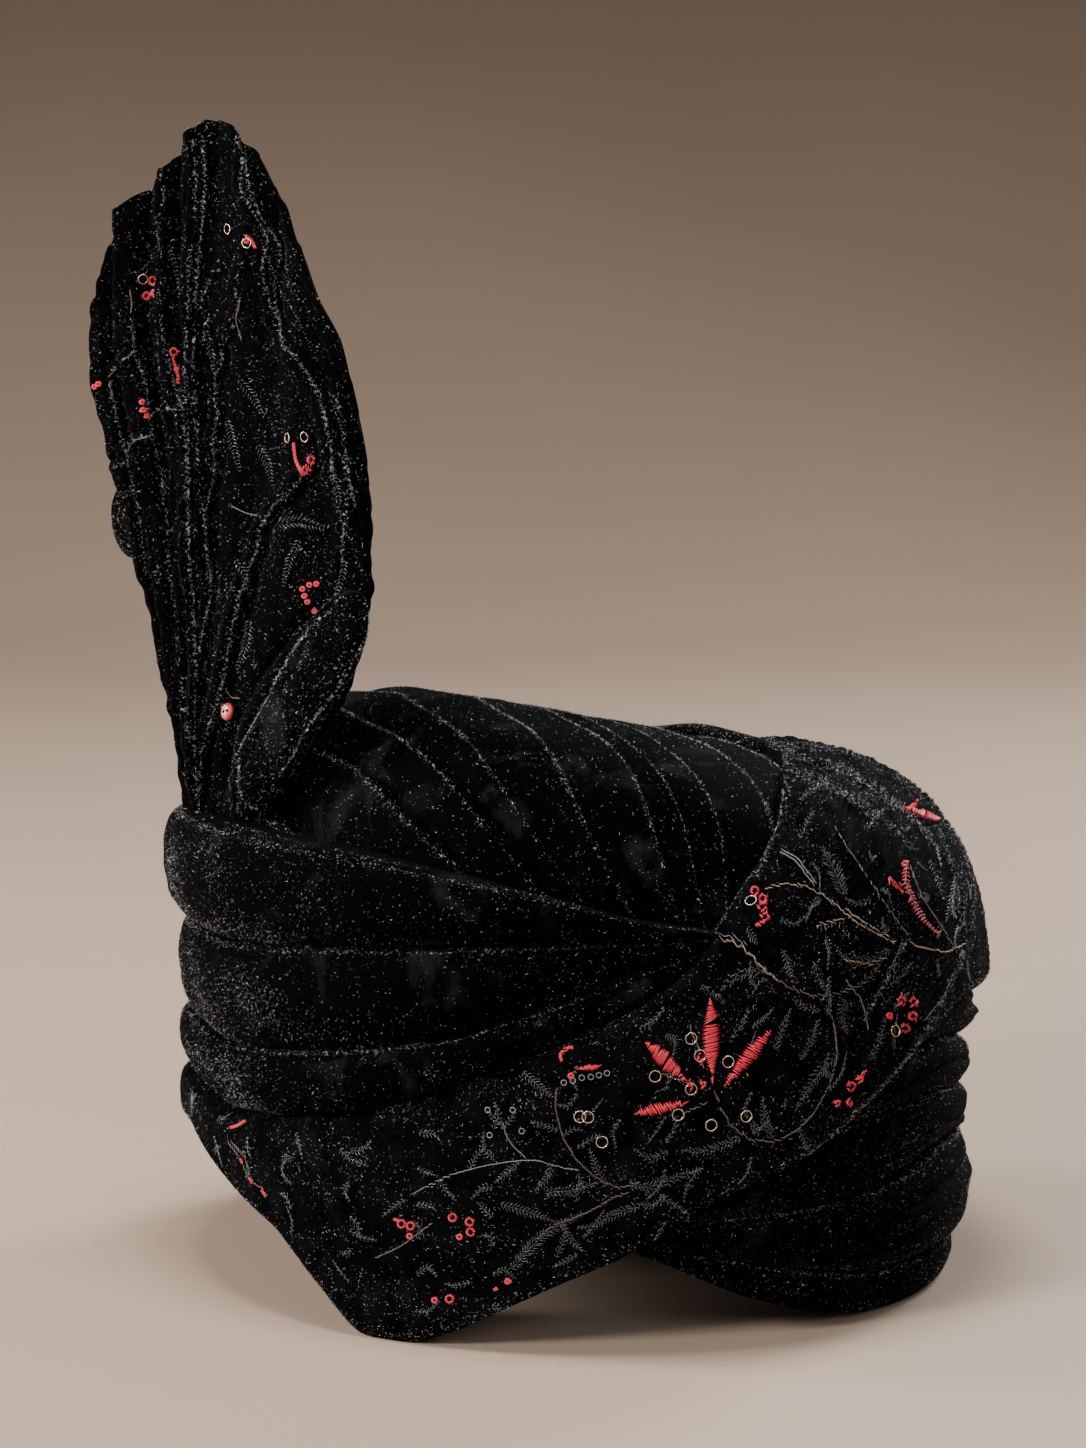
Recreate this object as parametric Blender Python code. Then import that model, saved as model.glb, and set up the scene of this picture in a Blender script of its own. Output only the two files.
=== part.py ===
"""Ready-wound velvet wedding turban with an upright pleated fan, standing on a surface.

Units are metres. The wearer faces -Y, +X is the wearer's left. The turns are wound from
the front to the wearer's right, so a place along a turn is an angle in degrees that grows
from 0 at the front to 90 over the right ear, 180 at the nape and 270 over the left ear.
"""

from collections import namedtuple
from math import atan2, cos, degrees, radians, sin, sqrt, tau

import bmesh
import bpy
import numpy as np
from mathutils import Vector

MM = 0.001
GAP = 0.4 * MM  # clearance between two neighbours that touch in the real turban
WELL = 2.4 * MM  # clearance that the pleats of the crown keep from what surrounds it
LEDGE = 1.3 * MM  # clearance under the crown's edge
STEP = 9.0  # degrees between two sections of a turn

HALF_DEPTH = 135 * MM  # outer half size, front to back
HALF_WIDTH = 122 * MM  # outer half size, ear to ear
CREASE = 0.93  # neighbours press on each other from the hollow out to this share of the plan
HEAD_HALF_DEPTH = 99 * MM  # hollow for a head of about 57 cm round
HEAD_HALF_WIDTH = 82.5 * MM

CROWN_HALF_DEPTH = 121 * MM
CROWN_HALF_WIDTH = 104 * MM
CROWN_WAIST = 75 * MM  # height of the crown's widest level
CROWN_RISE = 98 * MM
CROWN_POWER = 4.5  # 2 is an ellipsoid, more is boxier
CROWN_FALL_SIDE = 2.0  # how fast the top falls to the wearer's left, per metre
CROWN_FALL_BACK = 0.6  # how fast it falls to the back
CROWN_TURN = radians(5)  # the pleats meet this far to the left of the front
CROWN_WALL = 2.8 * MM
PLEAT_DEPTH = 3.0 * MM
# Folded edges of the crown's pleats, in degrees over the top from the wearer's right.
PLEAT_EDGES = (20, 29, 38, 47, 56, 66, 76.5, 84.5, 92.5, 102, 113, 125, 138, 152, 171)

# Heights in millimetres of the seams between the turns, at a place along the winding.
# Below each turn comes the next: turn_1 lies between high and top, turn_2 between mid and
# high, turn_3 between low and mid, the band or turn_4 under low, base_roll on the rim.
Seam = namedtuple("Seam", "at rim base split low mid high top seat")
SEAMS = [
    Seam(-4, 34, 35, 35, 114.0, 114.9, 116.0, 117.2, 100),
    Seam(0, 33, 35, 35, 108.5, 111.4, 115.4, 118.6, 99),
    Seam(7, 30, 30, 30, 97.2, 106.5, 115.0, 120.9, 98),
    Seam(17, 20, 20, 20, 86.1, 97.3, 114.0, 126.5, 98),
    Seam(31, 4, 4, 4, 73.5, 86.5, 112.2, 132.3, 100),
    Seam(36, 0, 0, 0, 70.0, 84.3, 111.5, 133.7, 102),
    Seam(45, 0, 0, 0, 64.3, 80.7, 110.1, 135.7, 104.5),
    Seam(50, 9, 9, 9, 61.8, 79.2, 109.0, 136.3, 105.5),
    Seam(60, 25, 25, 25, 57.5, 76.5, 106.7, 137.2, 107.1),
    Seam(76, 36, 36, 36, 54.8, 73.6, 104.4, 137.7, 104.9),
    Seam(92, 46, 46, 46, 59.5, 76.0, 104.0, 137.4, 104.5),
    Seam(105, 43, 43, 43, 60.0, 76.0, 103.0, 136.0, 103.5),
    Seam(120, 30, 30, 30, 56.0, 74.0, 102.0, 133.5, 102.5),
    Seam(135, 12, 12, 17, 50.0, 72.0, 100.0, 131.0, 100.5),
    Seam(150, 0, 5, 28, 44.0, 70.0, 98.0, 128.5, 98.5),
    Seam(162, 0, 9, 35, 40.5, 68.5, 96.5, 126.5, 97),
    Seam(172, 0, 9, 38.5, 39.0, 67.0, 95.5, 125.2, 96),
    Seam(180, 0, 9, 38.0, 38.0, 66.0, 95.0, 124.0, 95.5),
    Seam(210, 0, 9, 38.0, 38.0, 62.0, 88.0, 115.0, 92),
    Seam(225, 12, 20, 40.0, 40.0, 60.0, 84.0, 106.0, 90),
    Seam(240, 20, 28, 43.0, 43.0, 57.5, 77.0, 98.0, 88.5),
    Seam(255, 20, 28, 43.0, 43.0, 55.5, 72.0, 91.0, 87.5),
    Seam(270, 13, 21, 41.0, 41.0, 53.5, 68.0, 86.0, 86.5),
    Seam(285, 4, 12.5, 39.7, 39.7, 52.5, 66.0, 84.0, 84.6),
    Seam(300, 0, 10.5, 42.0, 42.0, 56.0, 71.0, 87.0, 87.6),
    Seam(313, 0, 12.0, 44.5, 44.5, 60.0, 75.5, 91.0, 91.6),
    Seam(323, 0, 13.0, 40.4, 40.4, 60.0, 74.5, 94.0, 94.6),
    Seam(332, 1, 14.1, 38.0, 38.0, 58.3, 73.5, 96.0, 97),
    Seam(342, 5, 18.0, 36.3, 36.3, 57.0, 74.0, 97.0, 98),
    Seam(352, 12, 23.0, 36.0, 36.0, 55.0, 74.0, 97.5, 98.5),
    Seam(360, 20, 27.0, 37.0, 37.0, 54.0, 72.0, 96.0, 99),
    Seam(367, 27, 31.0, 38.0, 38.0, 53.0, 70.0, 88.0, 98),
    Seam(378, 22, 26.0, 39.0, 39.0, 51.0, 64.0, 80.0, 98),
    Seam(388, 8, 10.0, 38.0, 38.0, 48.0, 58.0, 70.0, 100),
]

# A turn runs between two seams, and bulges out to a share of the plan's outer size.
Turn = namedtuple("Turn", "name start end under over bulge_front bulge_right bulge_left")
TURNS = [
    Turn("turn_1", -4, 351, "high", "top", 0.955, 1.000, 0.975),
    Turn("turn_2", -2, 364, "mid", "high", 0.960, 0.967, 0.968),
    Turn("turn_3", 0, 378, "low", "mid", 0.962, 0.965, 0.962),
    Turn("turn_4", 123, 366, "base", "split", 0.960, 0.970, 0.970),
]

# The band, from its tail at the back right, over the front, to its end behind the fan.
# Angle along the winding (falling), lower edge, bulge, inner edge, corner and thickness.
Lap = namedtuple("Lap", "at low bulge edge rise corner inner")
LAPS = [
    Lap(160, None, 0.945, 0, None, 0.30, 0),
    Lap(120, None, 0.962, 0, None, 0.30, 0),
    Lap(92, None, 0.965, 0, None, 0.30, 0),
    Lap(45, None, 0.967, 0, None, 0.30, 0),
    Lap(31, None, 0.972, 108, None, 0.30, 108),
    Lap(20, None, 0.980, 121, None, 0.32, 121),
    Lap(9, None, 0.990, 126, None, 0.35, 126),
    Lap(1, 40.0, 1.005, 127, None, 0.40, 128),
    Lap(-4, 45.0, 1.010, 122, 120, 0.45, 128),
    Lap(-8, 49.0, 1.015, 118.5, 129, 0.50, 129),
    Lap(-15, 55.0, 1.015, 111, 141.5, 0.58, 128),
    Lap(-22, 64.0, 1.015, 98, None, 0.66, 126),
    Lap(-33, 79.0, 1.015, 81, None, 0.74, 121),
    Lap(-46, 89.0, 1.013, 70, None, 0.80, 95),
    Lap(-64, 87.0, 1.013, 62, None, 0.84, 95),
    Lap(-75, 84.0, 1.013, 60, None, 0.86, 95),
    Lap(-90, 86.0, 1.013, 60, None, 0.90, 95),
    Lap(-110, 92.5, 1.010, 66, None, 0.95, 95),
    Lap(-135, 106.0, 1.000, 80, None, 0.90, 95),
    Lap(-160, 118.5, 0.985, 97, None, 0.72, 98),
    Lap(-180, 124.0, 0.975, 104, None, 0.60, 100),
    Lap(-205, 127.5, 0.965, 104, None, 0.55, 100),
    Lap(-231, 132.0, 0.915, 106, 137, 0.60, 103),
]
BAND_LIFT = 4.5 * MM  # height of the band's inner edge over the crown

# The fan stands on turn_1. Across runs to the front, out is towards the viewer.
FAN_FOOT = Vector((-108 * MM, -1.5 * MM, 137.9 * MM))
FAN_ACROSS = Vector((0.474, -0.880, 0)).normalized()
FAN_OUT = Vector((-0.880, -0.474, 0)).normalized()
FAN_WALL = 2.4 * MM
FAN_ROWS = 12

# Each fold line of the fan: place across at its foot, and place across, height, bow to
# the side, where the bow peaks and offset towards the viewer at its end, in millimetres.
Fold = namedtuple("Fold", "foot across height bow late out")
FOLDS = [
    Fold(-16.5, -50, 302, -15, 2.6, 0),
    Fold(-15.4, -47, 308, -11, 2.4, -5),
    Fold(-14.2, -41, 316, -7, 2.2, 3),
    Fold(-13.2, -33, 319, -5, 2.0, -6),
    Fold(-12.0, -21, 328, -2, 1.6, 3),
    Fold(-10.6, -15, 330, 0, 1.0, -6),
    Fold(-8.6, -3, 338, -1, 1.0, 8),
    Fold(-5.0, 7, 341, 0, 1.0, 3),
    Fold(-1.0, 22, 333, 3, 1.0, 5),
    Fold(4.0, 32, 317, 6, 1.0, 1),
    Fold(8.5, 42, 303, 11, 0.9, 4),
    Fold(11.5, 54, 278, 19, 0.9, 1),
    Fold(14.0, 63, 243, 27, 0.85, -2),
]

VELVET = (0.012, 0.012, 0.014, 1)
SHEEN = (0.016, 0.016, 0.019, 1)
THREADED = (0.020, 0.018, 0.020, 1)


def material(name, colour, roughness):
    made = bpy.data.materials.new(name)
    made.use_nodes = True
    shader = made.node_tree.nodes["Principled BSDF"]
    shader.inputs["Base Color"].default_value = colour
    shader.inputs["Roughness"].default_value = roughness
    shader.inputs["Metallic"].default_value = 0
    return made


def clear_scene():
    for old in list(bpy.data.objects):
        bpy.data.objects.remove(old, do_unlink=True)


def ring_radius(at, half_width, half_depth):
    """Radius of an ellipse about the head, at an angle along the winding."""
    turned = radians(at)
    return 1 / sqrt((sin(turned) / half_width) ** 2 + (cos(turned) / half_depth) ** 2)


def outer_radius(at):
    return ring_radius(at, HALF_WIDTH, HALF_DEPTH)


def head_radius(at):
    return ring_radius(at, HEAD_HALF_WIDTH, HEAD_HALF_DEPTH)


def place(at, radius, height):
    turned = radians(at)
    return Vector((-radius * sin(turned), -radius * cos(turned), height))


def seam(at, column):
    places = [row.at for row in SEAMS]
    heights = [getattr(row, column) for row in SEAMS]
    return float(np.interp(at, places, heights)) * MM


def round_the_winding(column, at):
    """A seam height where the first and the last lap are both in the table."""
    return seam(at % 360, column)


def crown_fall(spot):
    aside, behind = max(0.0, spot.x + 50 * MM), max(0.0, spot.y + 20 * MM)
    return 1 - CROWN_FALL_SIDE * aside - CROWN_FALL_BACK * behind


def crown_height(at, radius):
    """Height of the crown's smooth form at a place in plan."""
    spot = place(at, radius, 0)
    share = min(1.0, radius / ring_radius(at, CROWN_HALF_WIDTH, CROWN_HALF_DEPTH))
    rise = CROWN_RISE * (1 - share**CROWN_POWER) ** (1 / CROWN_POWER)
    return CROWN_WAIST + rise * crown_fall(spot)


def crown_point(direction, offset=0.0):
    """Point of the crown in a direction from the middle of its widest level."""
    flat = sqrt((direction.x / CROWN_HALF_WIDTH) ** 2 + (direction.y / CROWN_HALF_DEPTH) ** 2)
    steep = abs(direction.z) / CROWN_RISE
    reach = (flat**CROWN_POWER + steep**CROWN_POWER) ** (-1 / CROWN_POWER) + offset
    spot = direction * reach
    return Vector((spot.x, spot.y, CROWN_WAIST + spot.z * crown_fall(spot)))


def finish(name, mesh, paint, collection):
    """Close a bmesh into a named object with its own material."""
    bmesh.ops.triangulate(mesh, faces=mesh.faces, quad_method="SHORT_EDGE")
    mesh.normal_update()
    bmesh.ops.recalc_face_normals(mesh, faces=mesh.faces)
    data = bpy.data.meshes.new(name)
    mesh.to_mesh(data)
    mesh.free()
    made = bpy.data.objects.new(name, data)
    data.materials.append(paint)
    collection.objects.link(made)
    made.parent = bpy.data.objects["turban"]
    return made


def loft(name, rings, paint, collection):
    """Body through closed rings of points, with both ends capped."""
    mesh = bmesh.new()
    rows = [[mesh.verts.new(spot) for spot in ring] for ring in rings]
    count = len(rows[0])
    for first, second in zip(rows, rows[1:]):
        for i in range(count):
            j = (i + 1) % count
            mesh.faces.new((first[i], first[j], second[j], second[i]))
    mesh.faces.new(rows[0])
    mesh.faces.new(rows[-1])
    return finish(name, mesh, paint, collection)


def shell(name, outside, inside, paint, collection):
    """Wall between two grids of points, closed along its four edges."""
    mesh = bmesh.new()
    skins = [[[mesh.verts.new(spot) for spot in row] for row in grid] for grid in (outside, inside)]
    rows, columns = len(outside), len(outside[0])
    for skin in skins:
        for i in range(rows - 1):
            for j in range(columns - 1):
                mesh.faces.new((skin[i][j], skin[i][j + 1], skin[i + 1][j + 1], skin[i + 1][j]))
    rim = [(0, j) for j in range(columns)] + [(i, columns - 1) for i in range(1, rows)]
    rim += [(rows - 1, j) for j in range(columns - 2, -1, -1)] + [(i, 0) for i in range(rows - 2, 0, -1)]
    for (i, j), (k, m) in zip(rim, rim[1:] + rim[:1]):
        mesh.faces.new((skins[0][i][j], skins[0][k][m], skins[1][k][m], skins[1][i][j]))
    return finish(name, mesh, paint, collection)


def cut(body, cutter):
    """Take a cutter's shape out of a body."""
    boolean = body.modifiers.new("clear_" + cutter.name, "BOOLEAN")
    boolean.operation = "DIFFERENCE"
    boolean.solver = "MANIFOLD"
    boolean.object = cutter


def stations(start, end):
    """Angles from start to end about STEP apart, shared by neighbours between their ends."""
    first = np.arange(np.ceil((start + 1) / STEP), np.floor((end - 1) / STEP) + 1) * STEP
    return [start, *first.tolist(), end]


def padded_section(at, under, over, bulge):
    """Section of a padded roll: flat where it is pressed on its neighbours, round outside."""
    low, high = under + GAP / 2, over - GAP / 2
    tall = high - low
    inner, pressed = head_radius(at), outer_radius(at) * CREASE
    depth = outer_radius(at) * (bulge - CREASE)
    shares = (0.0, 0.16, 0.36, 0.64, 0.84, 1.0)
    belly = [(pressed + depth * (1 - abs(2 * t - 1) ** 3), low + tall * t) for t in shares]
    back = [(inner + 2 * MM, high), (inner, low + tall * 0.5), (inner + 2 * MM, low)]
    return [place(at, radius, height) for radius, height in belly + back]


def bulge_at(turn, at):
    places = (0, 35, 80, 150, 285, 330, 385)
    values = (turn.bulge_front, (turn.bulge_front + turn.bulge_right) / 2, turn.bulge_right,
              turn.bulge_right, turn.bulge_left, turn.bulge_left, turn.bulge_front)
    return float(np.interp(at, places, values))


def wind_turn(turn, paint, collection):
    rings = [
        padded_section(at, seam(at, turn.under), seam(at, turn.over), bulge_at(turn, at))
        for at in stations(turn.start, turn.end)
    ]
    return loft(turn.name, rings, paint, collection)


def base_roll(paint, collection):
    rings = []
    for at in stations(146, 366):
        low, high = seam(at, "rim"), seam(at, "base") - GAP / 2
        inner, outer = head_radius(at), outer_radius(at) * CREASE
        middle = (low + high) / 2
        section = [(inner + 2 * MM, low), (outer - 7 * MM, low), (outer - 1 * MM, middle), (outer, high),
                   (inner + 2 * MM, high), (inner, middle)]
        rings.append([place(at, radius, height) for radius, height in section])
    return loft("base_roll", rings, paint, collection)


def band_value(at, column):
    rows = list(reversed(LAPS))
    return float(np.interp(at, [row.at for row in rows], [getattr(row, column) for row in rows]))


def band_low(at):
    rows = list(reversed(LAPS))
    heights = [seam(row.at, "split") if row.low is None else row.low * MM for row in rows]
    if at >= 9:
        return seam(at, "split") + (GAP / 2 if at > TURNS[3].start else 0.0)
    return float(np.interp(at, [row.at for row in rows], heights)) + GAP / 2


def band_edge_height(row):
    if row.rise is not None:
        return row.rise * MM
    if row.at > -4:
        return seam(row.at, "low")
    return crown_height(row.at, row.edge * MM) + BAND_LIFT


def band_top(at):
    if at >= 1:
        return seam(at, "low") - GAP / 2
    rows = list(reversed(LAPS))
    return float(np.interp(at, [row.at for row in rows], [band_edge_height(row) for row in rows]))


def band_section(at, grow):
    """Section of the band: a quarter of a rounded box from its lower to its inner edge."""
    low, top = band_low(at), band_top(at)
    outer = outer_radius(at) * band_value(at, "bulge")
    edge = band_value(at, "edge") * MM
    if at > 0:
        edge = max(edge, head_radius(at))
    inner = max(band_value(at, "inner") * MM, head_radius(at))
    corner = band_value(at, "corner")
    points = [(outer - 6 * MM, low)]
    for turned in (8, 24, 40, 52, 64, 76, 90):
        across, up = cos(radians(turned)), sin(radians(turned))
        points.append((edge + (outer - edge) * abs(across) ** corner, low + (top - low) * up**corner))
    points[-1] = (edge + 1 * MM, top)
    if at < -3:
        points.append((edge - 3 * MM, top - BAND_LIFT * 2.2))
        points.append(((edge + inner) / 2, low + (top - low) * 0.35))
    else:
        points.append((edge, top - 2 * MM))
        points.append(((edge + inner) / 2, (low + top) / 2))
    points.append((inner, low + 1 * MM))
    outward = [(1, -1)] + [(1, 1)] * 6 + [(-1, 1)] * 2 + [(-1, -1)] * 2
    aside = grow if at < 40 else 0.0
    upward = grow if at < 1 else 0.0
    downward = grow if at < 30 else 0.0
    return [
        place(at, radius + aside * out, height + (upward if up > 0 else -downward))
        for (radius, height), (out, up) in zip(points, outward)
    ]


def embroidered_band(name, grow, paint, collection):
    shared = set(stations(LAPS[-1].at, LAPS[0].at))
    bends = {float(row.at) for row in LAPS if -40 < row.at < -2 and row.at % STEP}
    angles = sorted(shared | (bends - {-8.0}), reverse=True)
    return loft(name, [band_section(at, grow) for at in angles], paint, collection)


def pleat(share):
    """Rise of a knife pleat: slow from its crease to its folded edge, then a sharp drop."""
    return share / 0.86 if share < 0.86 else (1 - share) / 0.14


def crown_direction(along, over):
    """Direction on a line from the front meeting point over the top to the back one."""
    flat = Vector((-sin(along) * cos(over), -cos(along), sin(along) * sin(over)))
    turned = Vector((flat.x * cos(CROWN_TURN) - flat.y * sin(CROWN_TURN),
                     flat.x * sin(CROWN_TURN) + flat.y * cos(CROWN_TURN), flat.z))
    return turned.normalized()


def crown_start(over, front):
    """Angle along a pleat line at which it rises over its seat, from the front or back."""
    low, high = (0.02, tau / 4) if front else (tau / 2 - 0.02, tau / 4)
    for _ in range(40):
        middle = (low + high) / 2
        spot = crown_point(crown_direction(middle, over))
        at = degrees(atan2(-spot.x, -spot.y))
        if spot.z < round_the_winding("seat", at):
            low = middle
        else:
            high = middle
    return high


def crown(paint, collection):
    outside, inside = [], []
    lines = [(PLEAT_EDGES[0], 0.0)]
    for first, last in zip(PLEAT_EDGES, PLEAT_EDGES[1:]):
        lines += [(first + (last - first) * share, share) for share in (0.45, 0.86, 1.0)]
    for line, share in lines:
        over = radians(line)
        begin, end = crown_start(over, True), crown_start(over, False)
        hidden = np.interp(over, [radians(130), radians(150)], [1, 0.1])
        rows_out, rows_in = [], []
        for along in np.linspace(begin, end, 15):
            direction = crown_direction(along, over)
            depth = PLEAT_DEPTH * sin(along) ** 0.5 * hidden
            offset = depth * (pleat(share) - 0.5)
            rows_out.append(crown_point(direction, offset))
            rows_in.append(crown_point(direction, offset - CROWN_WALL))
        outside.append(rows_out)
        inside.append(rows_in)
    return shell("crown", outside, inside, paint, collection)


def crown_well(collection, paint):
    """Cutter: the room that the crown takes, down to the ledge that it stands on."""
    angles = np.arange(0, 360, STEP)
    rings = []
    for share in (0.35, 0.9):
        floor = [(at, round_the_winding("seat", at) - LEDGE) for at in angles]
        rings.append([place(at, head_radius(at) * share, height) for at, height in floor])
    for lift in (0, 18, 27, 33, 38, 42, 46, 50, 55, 61, 68, 76, 84):
        ring = []
        for at in angles:
            flat = place(at, 1, 0)
            base = round_the_winding("seat", at) - LEDGE - CROWN_WAIST
            wide = ring_radius(at, CROWN_HALF_WIDTH, CROWN_HALF_DEPTH)
            climb = radians(lift) if lift else atan2(base, wide)
            direction = (flat * cos(climb) + Vector((0, 0, sin(climb)))).normalized()
            ring.append(crown_point(direction, WELL))
        if lift:
            rings.append(ring)
        else:
            rings.append([place(at, max(sqrt(spot.x**2 + spot.y**2), 1 * MM),
                                round_the_winding("seat", at) - LEDGE) for at, spot in zip(angles, ring)])
    return loft("crown_well", rings, paint, collection)


def fan_spot(across, height, out):
    return FAN_FOOT + FAN_ACROSS * across * MM + FAN_OUT * out * MM + Vector((0, 0, height * MM - FAN_FOOT.z))


def fan_line(fold, share):
    """Point of a fold line: it leaves the foot, bows to its side and ends at the edge."""
    across = fold.foot + (fold.across - fold.foot) * share + fold.bow * sin(tau / 2 * share**fold.late)
    height = FAN_FOOT.z / MM + (fold.height - FAN_FOOT.z / MM) * share
    out = fold.out * (0.25 + 0.75 * share**0.7) + 0.36 * max(0.0, fold.foot) * (1 - share)
    return across, height, out


def fan(paint, collection):
    front, back = [], []
    for fold in FOLDS:
        lines = [fan_line(fold, row / FAN_ROWS) for row in range(FAN_ROWS + 1)]
        front.append([fan_spot(across, height, out + FAN_WALL / MM / 2) for across, height, out in lines])
        back.append([fan_spot(across, height, out - FAN_WALL / MM / 2) for across, height, out in lines])
    return shell("fan", front, back, paint, collection)


def fan_flap(paint, collection):
    """Flattened fold before the foot of the fan, from its free end down to its rounded foot."""
    Strip = namedtuple("Strip", "left left_height right right_height thick")
    strips = [
        Strip(66, 209, 75, 208, 3.0), Strip(54, 201, 77, 201, 5.5), Strip(43, 188, 73, 189, 7.0),
        Strip(33, 174.5, 61, 176, 7.5), Strip(23.5, 163, 52, 165, 7.5), Strip(17, 155, 41.5, 153, 7.0),
        Strip(15.5, 147.5, 33, 145, 6.5), Strip(17, 140.2, 26, 138.6, 4.5),
    ]
    rings = []
    for strip in strips:
        ring = []
        for corner in range(10):
            turned = tau * corner / 10
            side = 0.5 + 0.5 * abs(cos(turned)) ** 0.7 * (1 if cos(turned) > 0 else -1)
            across = strip.left + (strip.right - strip.left) * side
            height = strip.left_height + (strip.right_height - strip.left_height) * side
            ring.append(fan_spot(across, height, 9.0 + strip.thick / 2 * sin(turned)))
        rings.append(ring)
    return loft("fan_flap", rings, paint, collection)


def fan_back_fold(paint, collection):
    """Small rounded fold that shows at the rear edge of the fan."""
    mesh = bmesh.new()
    bmesh.ops.create_uvsphere(mesh, u_segments=12, v_segments=8, radius=1.0)
    spot = fan_spot(-45, 222, -8.45)
    for vert in mesh.verts:
        local = vert.co.copy()
        vert.co = (spot + FAN_ACROSS * local.x * 9.5 * MM + FAN_OUT * local.y * 5.2 * MM
                   + Vector((0, 0, local.z * 12 * MM)))
    return finish("fan_back_fold", mesh, paint, collection)


def top_tuck(paint, collection):
    """Plain fold that lies across the crown behind its last pleats."""
    Bit = namedtuple("Bit", "x y wide tall")
    bits = [
        Bit(33, 27, 5, 3), Bit(40, 25, 11, 5), Bit(48, 21, 14, 6.5),
        Bit(56, 15, 14, 7), Bit(63, 9, 12, 7), Bit(68, 5, 5, 4),
    ]
    rings = []
    for bit in bits:
        at = degrees(atan2(-bit.x, -bit.y))
        height = crown_height(at, sqrt(bit.x**2 + bit.y**2) * MM)
        ring = []
        for corner in range(10):
            turned = tau * corner / 10
            ring.append(Vector((bit.x * MM, (bit.y + bit.wide * cos(turned)) * MM,
                                height + (bit.tall * sin(turned) + 1) * MM)))
        rings.append(ring)
    return loft("top_tuck", rings, paint, collection)


def stand_on_origin(stand):
    """Bring the middle of the whole outline over the origin."""
    bpy.context.view_layer.update()
    graph = bpy.context.evaluated_depsgraph_get()
    corners = [
        Vector(corner)
        for piece in stand.children
        if not piece.hide_render
        for corner in piece.evaluated_get(graph).bound_box
    ]
    for axis in (0, 1):
        reach = [corner[axis] for corner in corners]
        stand.location[axis] = -(min(reach) + max(reach)) / 2
    bpy.context.view_layer.update()


def main():
    clear_scene()
    scene = bpy.context.scene
    pieces = scene.collection
    stand = bpy.data.objects.new("turban", None)
    pieces.objects.link(stand)
    cutters = bpy.data.collections.new("cutters")
    scene.collection.children.link(cutters)
    velvet = {name: material(name + "_velvet", VELVET, 0.9) for name in ("base_roll", "crown", "top_tuck")}
    well = crown_well(cutters, velvet["crown"])
    threaded = material("embroidered_band_velvet", THREADED, 0.85)
    sleeve = embroidered_band("band_room", GAP, threaded, cutters)
    for cutter in (well, sleeve):
        cutter.hide_render = True
        cutter.display_type = "WIRE"
    crown(velvet["crown"], pieces)
    for turn in TURNS:
        made = wind_turn(turn, material(turn.name + "_velvet", VELVET, 0.9), pieces)
        if turn.name != "turn_4":
            cut(made, well)
        cut(made, sleeve)
    lowest = base_roll(velvet["base_roll"], pieces)
    cut(lowest, sleeve)
    band = embroidered_band("embroidered_band", 0.0, threaded, pieces)
    cut(band, well)
    tuck = top_tuck(velvet["top_tuck"], pieces)
    cut(tuck, well)
    cut(tuck, sleeve)
    fan(material("fan_velvet", THREADED, 0.85), pieces)
    fan_flap(material("fan_flap_velvet", SHEEN, 0.9), pieces)
    fan_back_fold(material("fan_back_fold_velvet", VELVET, 0.9), pieces)
    stand_on_origin(stand)


main()
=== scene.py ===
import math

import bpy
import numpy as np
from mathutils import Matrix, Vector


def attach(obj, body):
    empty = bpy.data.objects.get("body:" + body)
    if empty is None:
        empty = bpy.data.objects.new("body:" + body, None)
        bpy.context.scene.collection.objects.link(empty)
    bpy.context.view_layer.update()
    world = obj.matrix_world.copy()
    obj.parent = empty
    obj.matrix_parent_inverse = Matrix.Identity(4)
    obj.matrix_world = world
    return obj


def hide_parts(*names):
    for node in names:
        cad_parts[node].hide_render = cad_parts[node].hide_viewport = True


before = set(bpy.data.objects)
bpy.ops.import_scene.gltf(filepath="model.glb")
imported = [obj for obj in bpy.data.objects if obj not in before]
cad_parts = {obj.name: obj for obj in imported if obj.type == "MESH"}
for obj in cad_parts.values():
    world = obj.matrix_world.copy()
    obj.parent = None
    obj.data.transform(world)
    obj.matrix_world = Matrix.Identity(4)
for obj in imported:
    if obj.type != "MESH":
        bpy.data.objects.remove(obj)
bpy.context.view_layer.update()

# Dressing of a wound velvet wedding turban with a pleated fan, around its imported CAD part.
# Places round the head are angles along the winding: 0 at the front, 90 over the right ear,
# 180 at the nape, 270 over the left ear. Tables are in millimetres, or in pixels of the view
# where a comment says so. Meshes are in metres.

mm = 0.001
pixelSize = 0.3  # millimetres of the turban in a pixel of the view
tiny = 1e-9  # keeps lengths that are divided by away from zero
gap = 0.4  # room between neighbours that touch
crease = 0.93  # share of the plan at which neighbouring rolls press on each other
plan = dict(halfDepth=135.0, halfWidth=122.0, headDepth=99.0, headWidth=82.5)
shift = np.array([6.84203, 0.911042, 0.0])  # from the head's axis to the middle of the frame


def stage(text):
    print("turban:", text, flush=True)


# Smooth random relief from -1 to 1: the mean of plane waves with random headings, whose
# lengths lie around size.
def waves(u, v, size, seed, count=9):
    rng = np.random.default_rng(seed)
    heading = rng.uniform(0, math.tau, count)
    pace = math.tau / size * rng.uniform(0.6, 1.5, count)
    phase = rng.uniform(0, math.tau, count)
    total = sum(np.sin(k * (math.cos(a) * u + math.sin(a) * v) + p)
                for a, k, p in zip(heading, pace, phase))
    return total / count ** 0.5 / 1.6


# 0 below low, 1 above high, and an S curve between.
def smooth(x, low, high):
    t = np.clip((np.asarray(x, float) - low) / (high - low), 0, 1)
    return t * t * (3 - 2 * t)


# Straight-line table value, averaged over a bell of neighbouring places.
def eased(at, places, values, spread):
    steps = np.linspace(-1.8, 1.8, 13)
    bell = np.exp(-steps ** 2)
    found = np.interp(np.asarray(at, float)[..., None] + steps * spread, places, values)
    return found @ bell / bell.sum()


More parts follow.
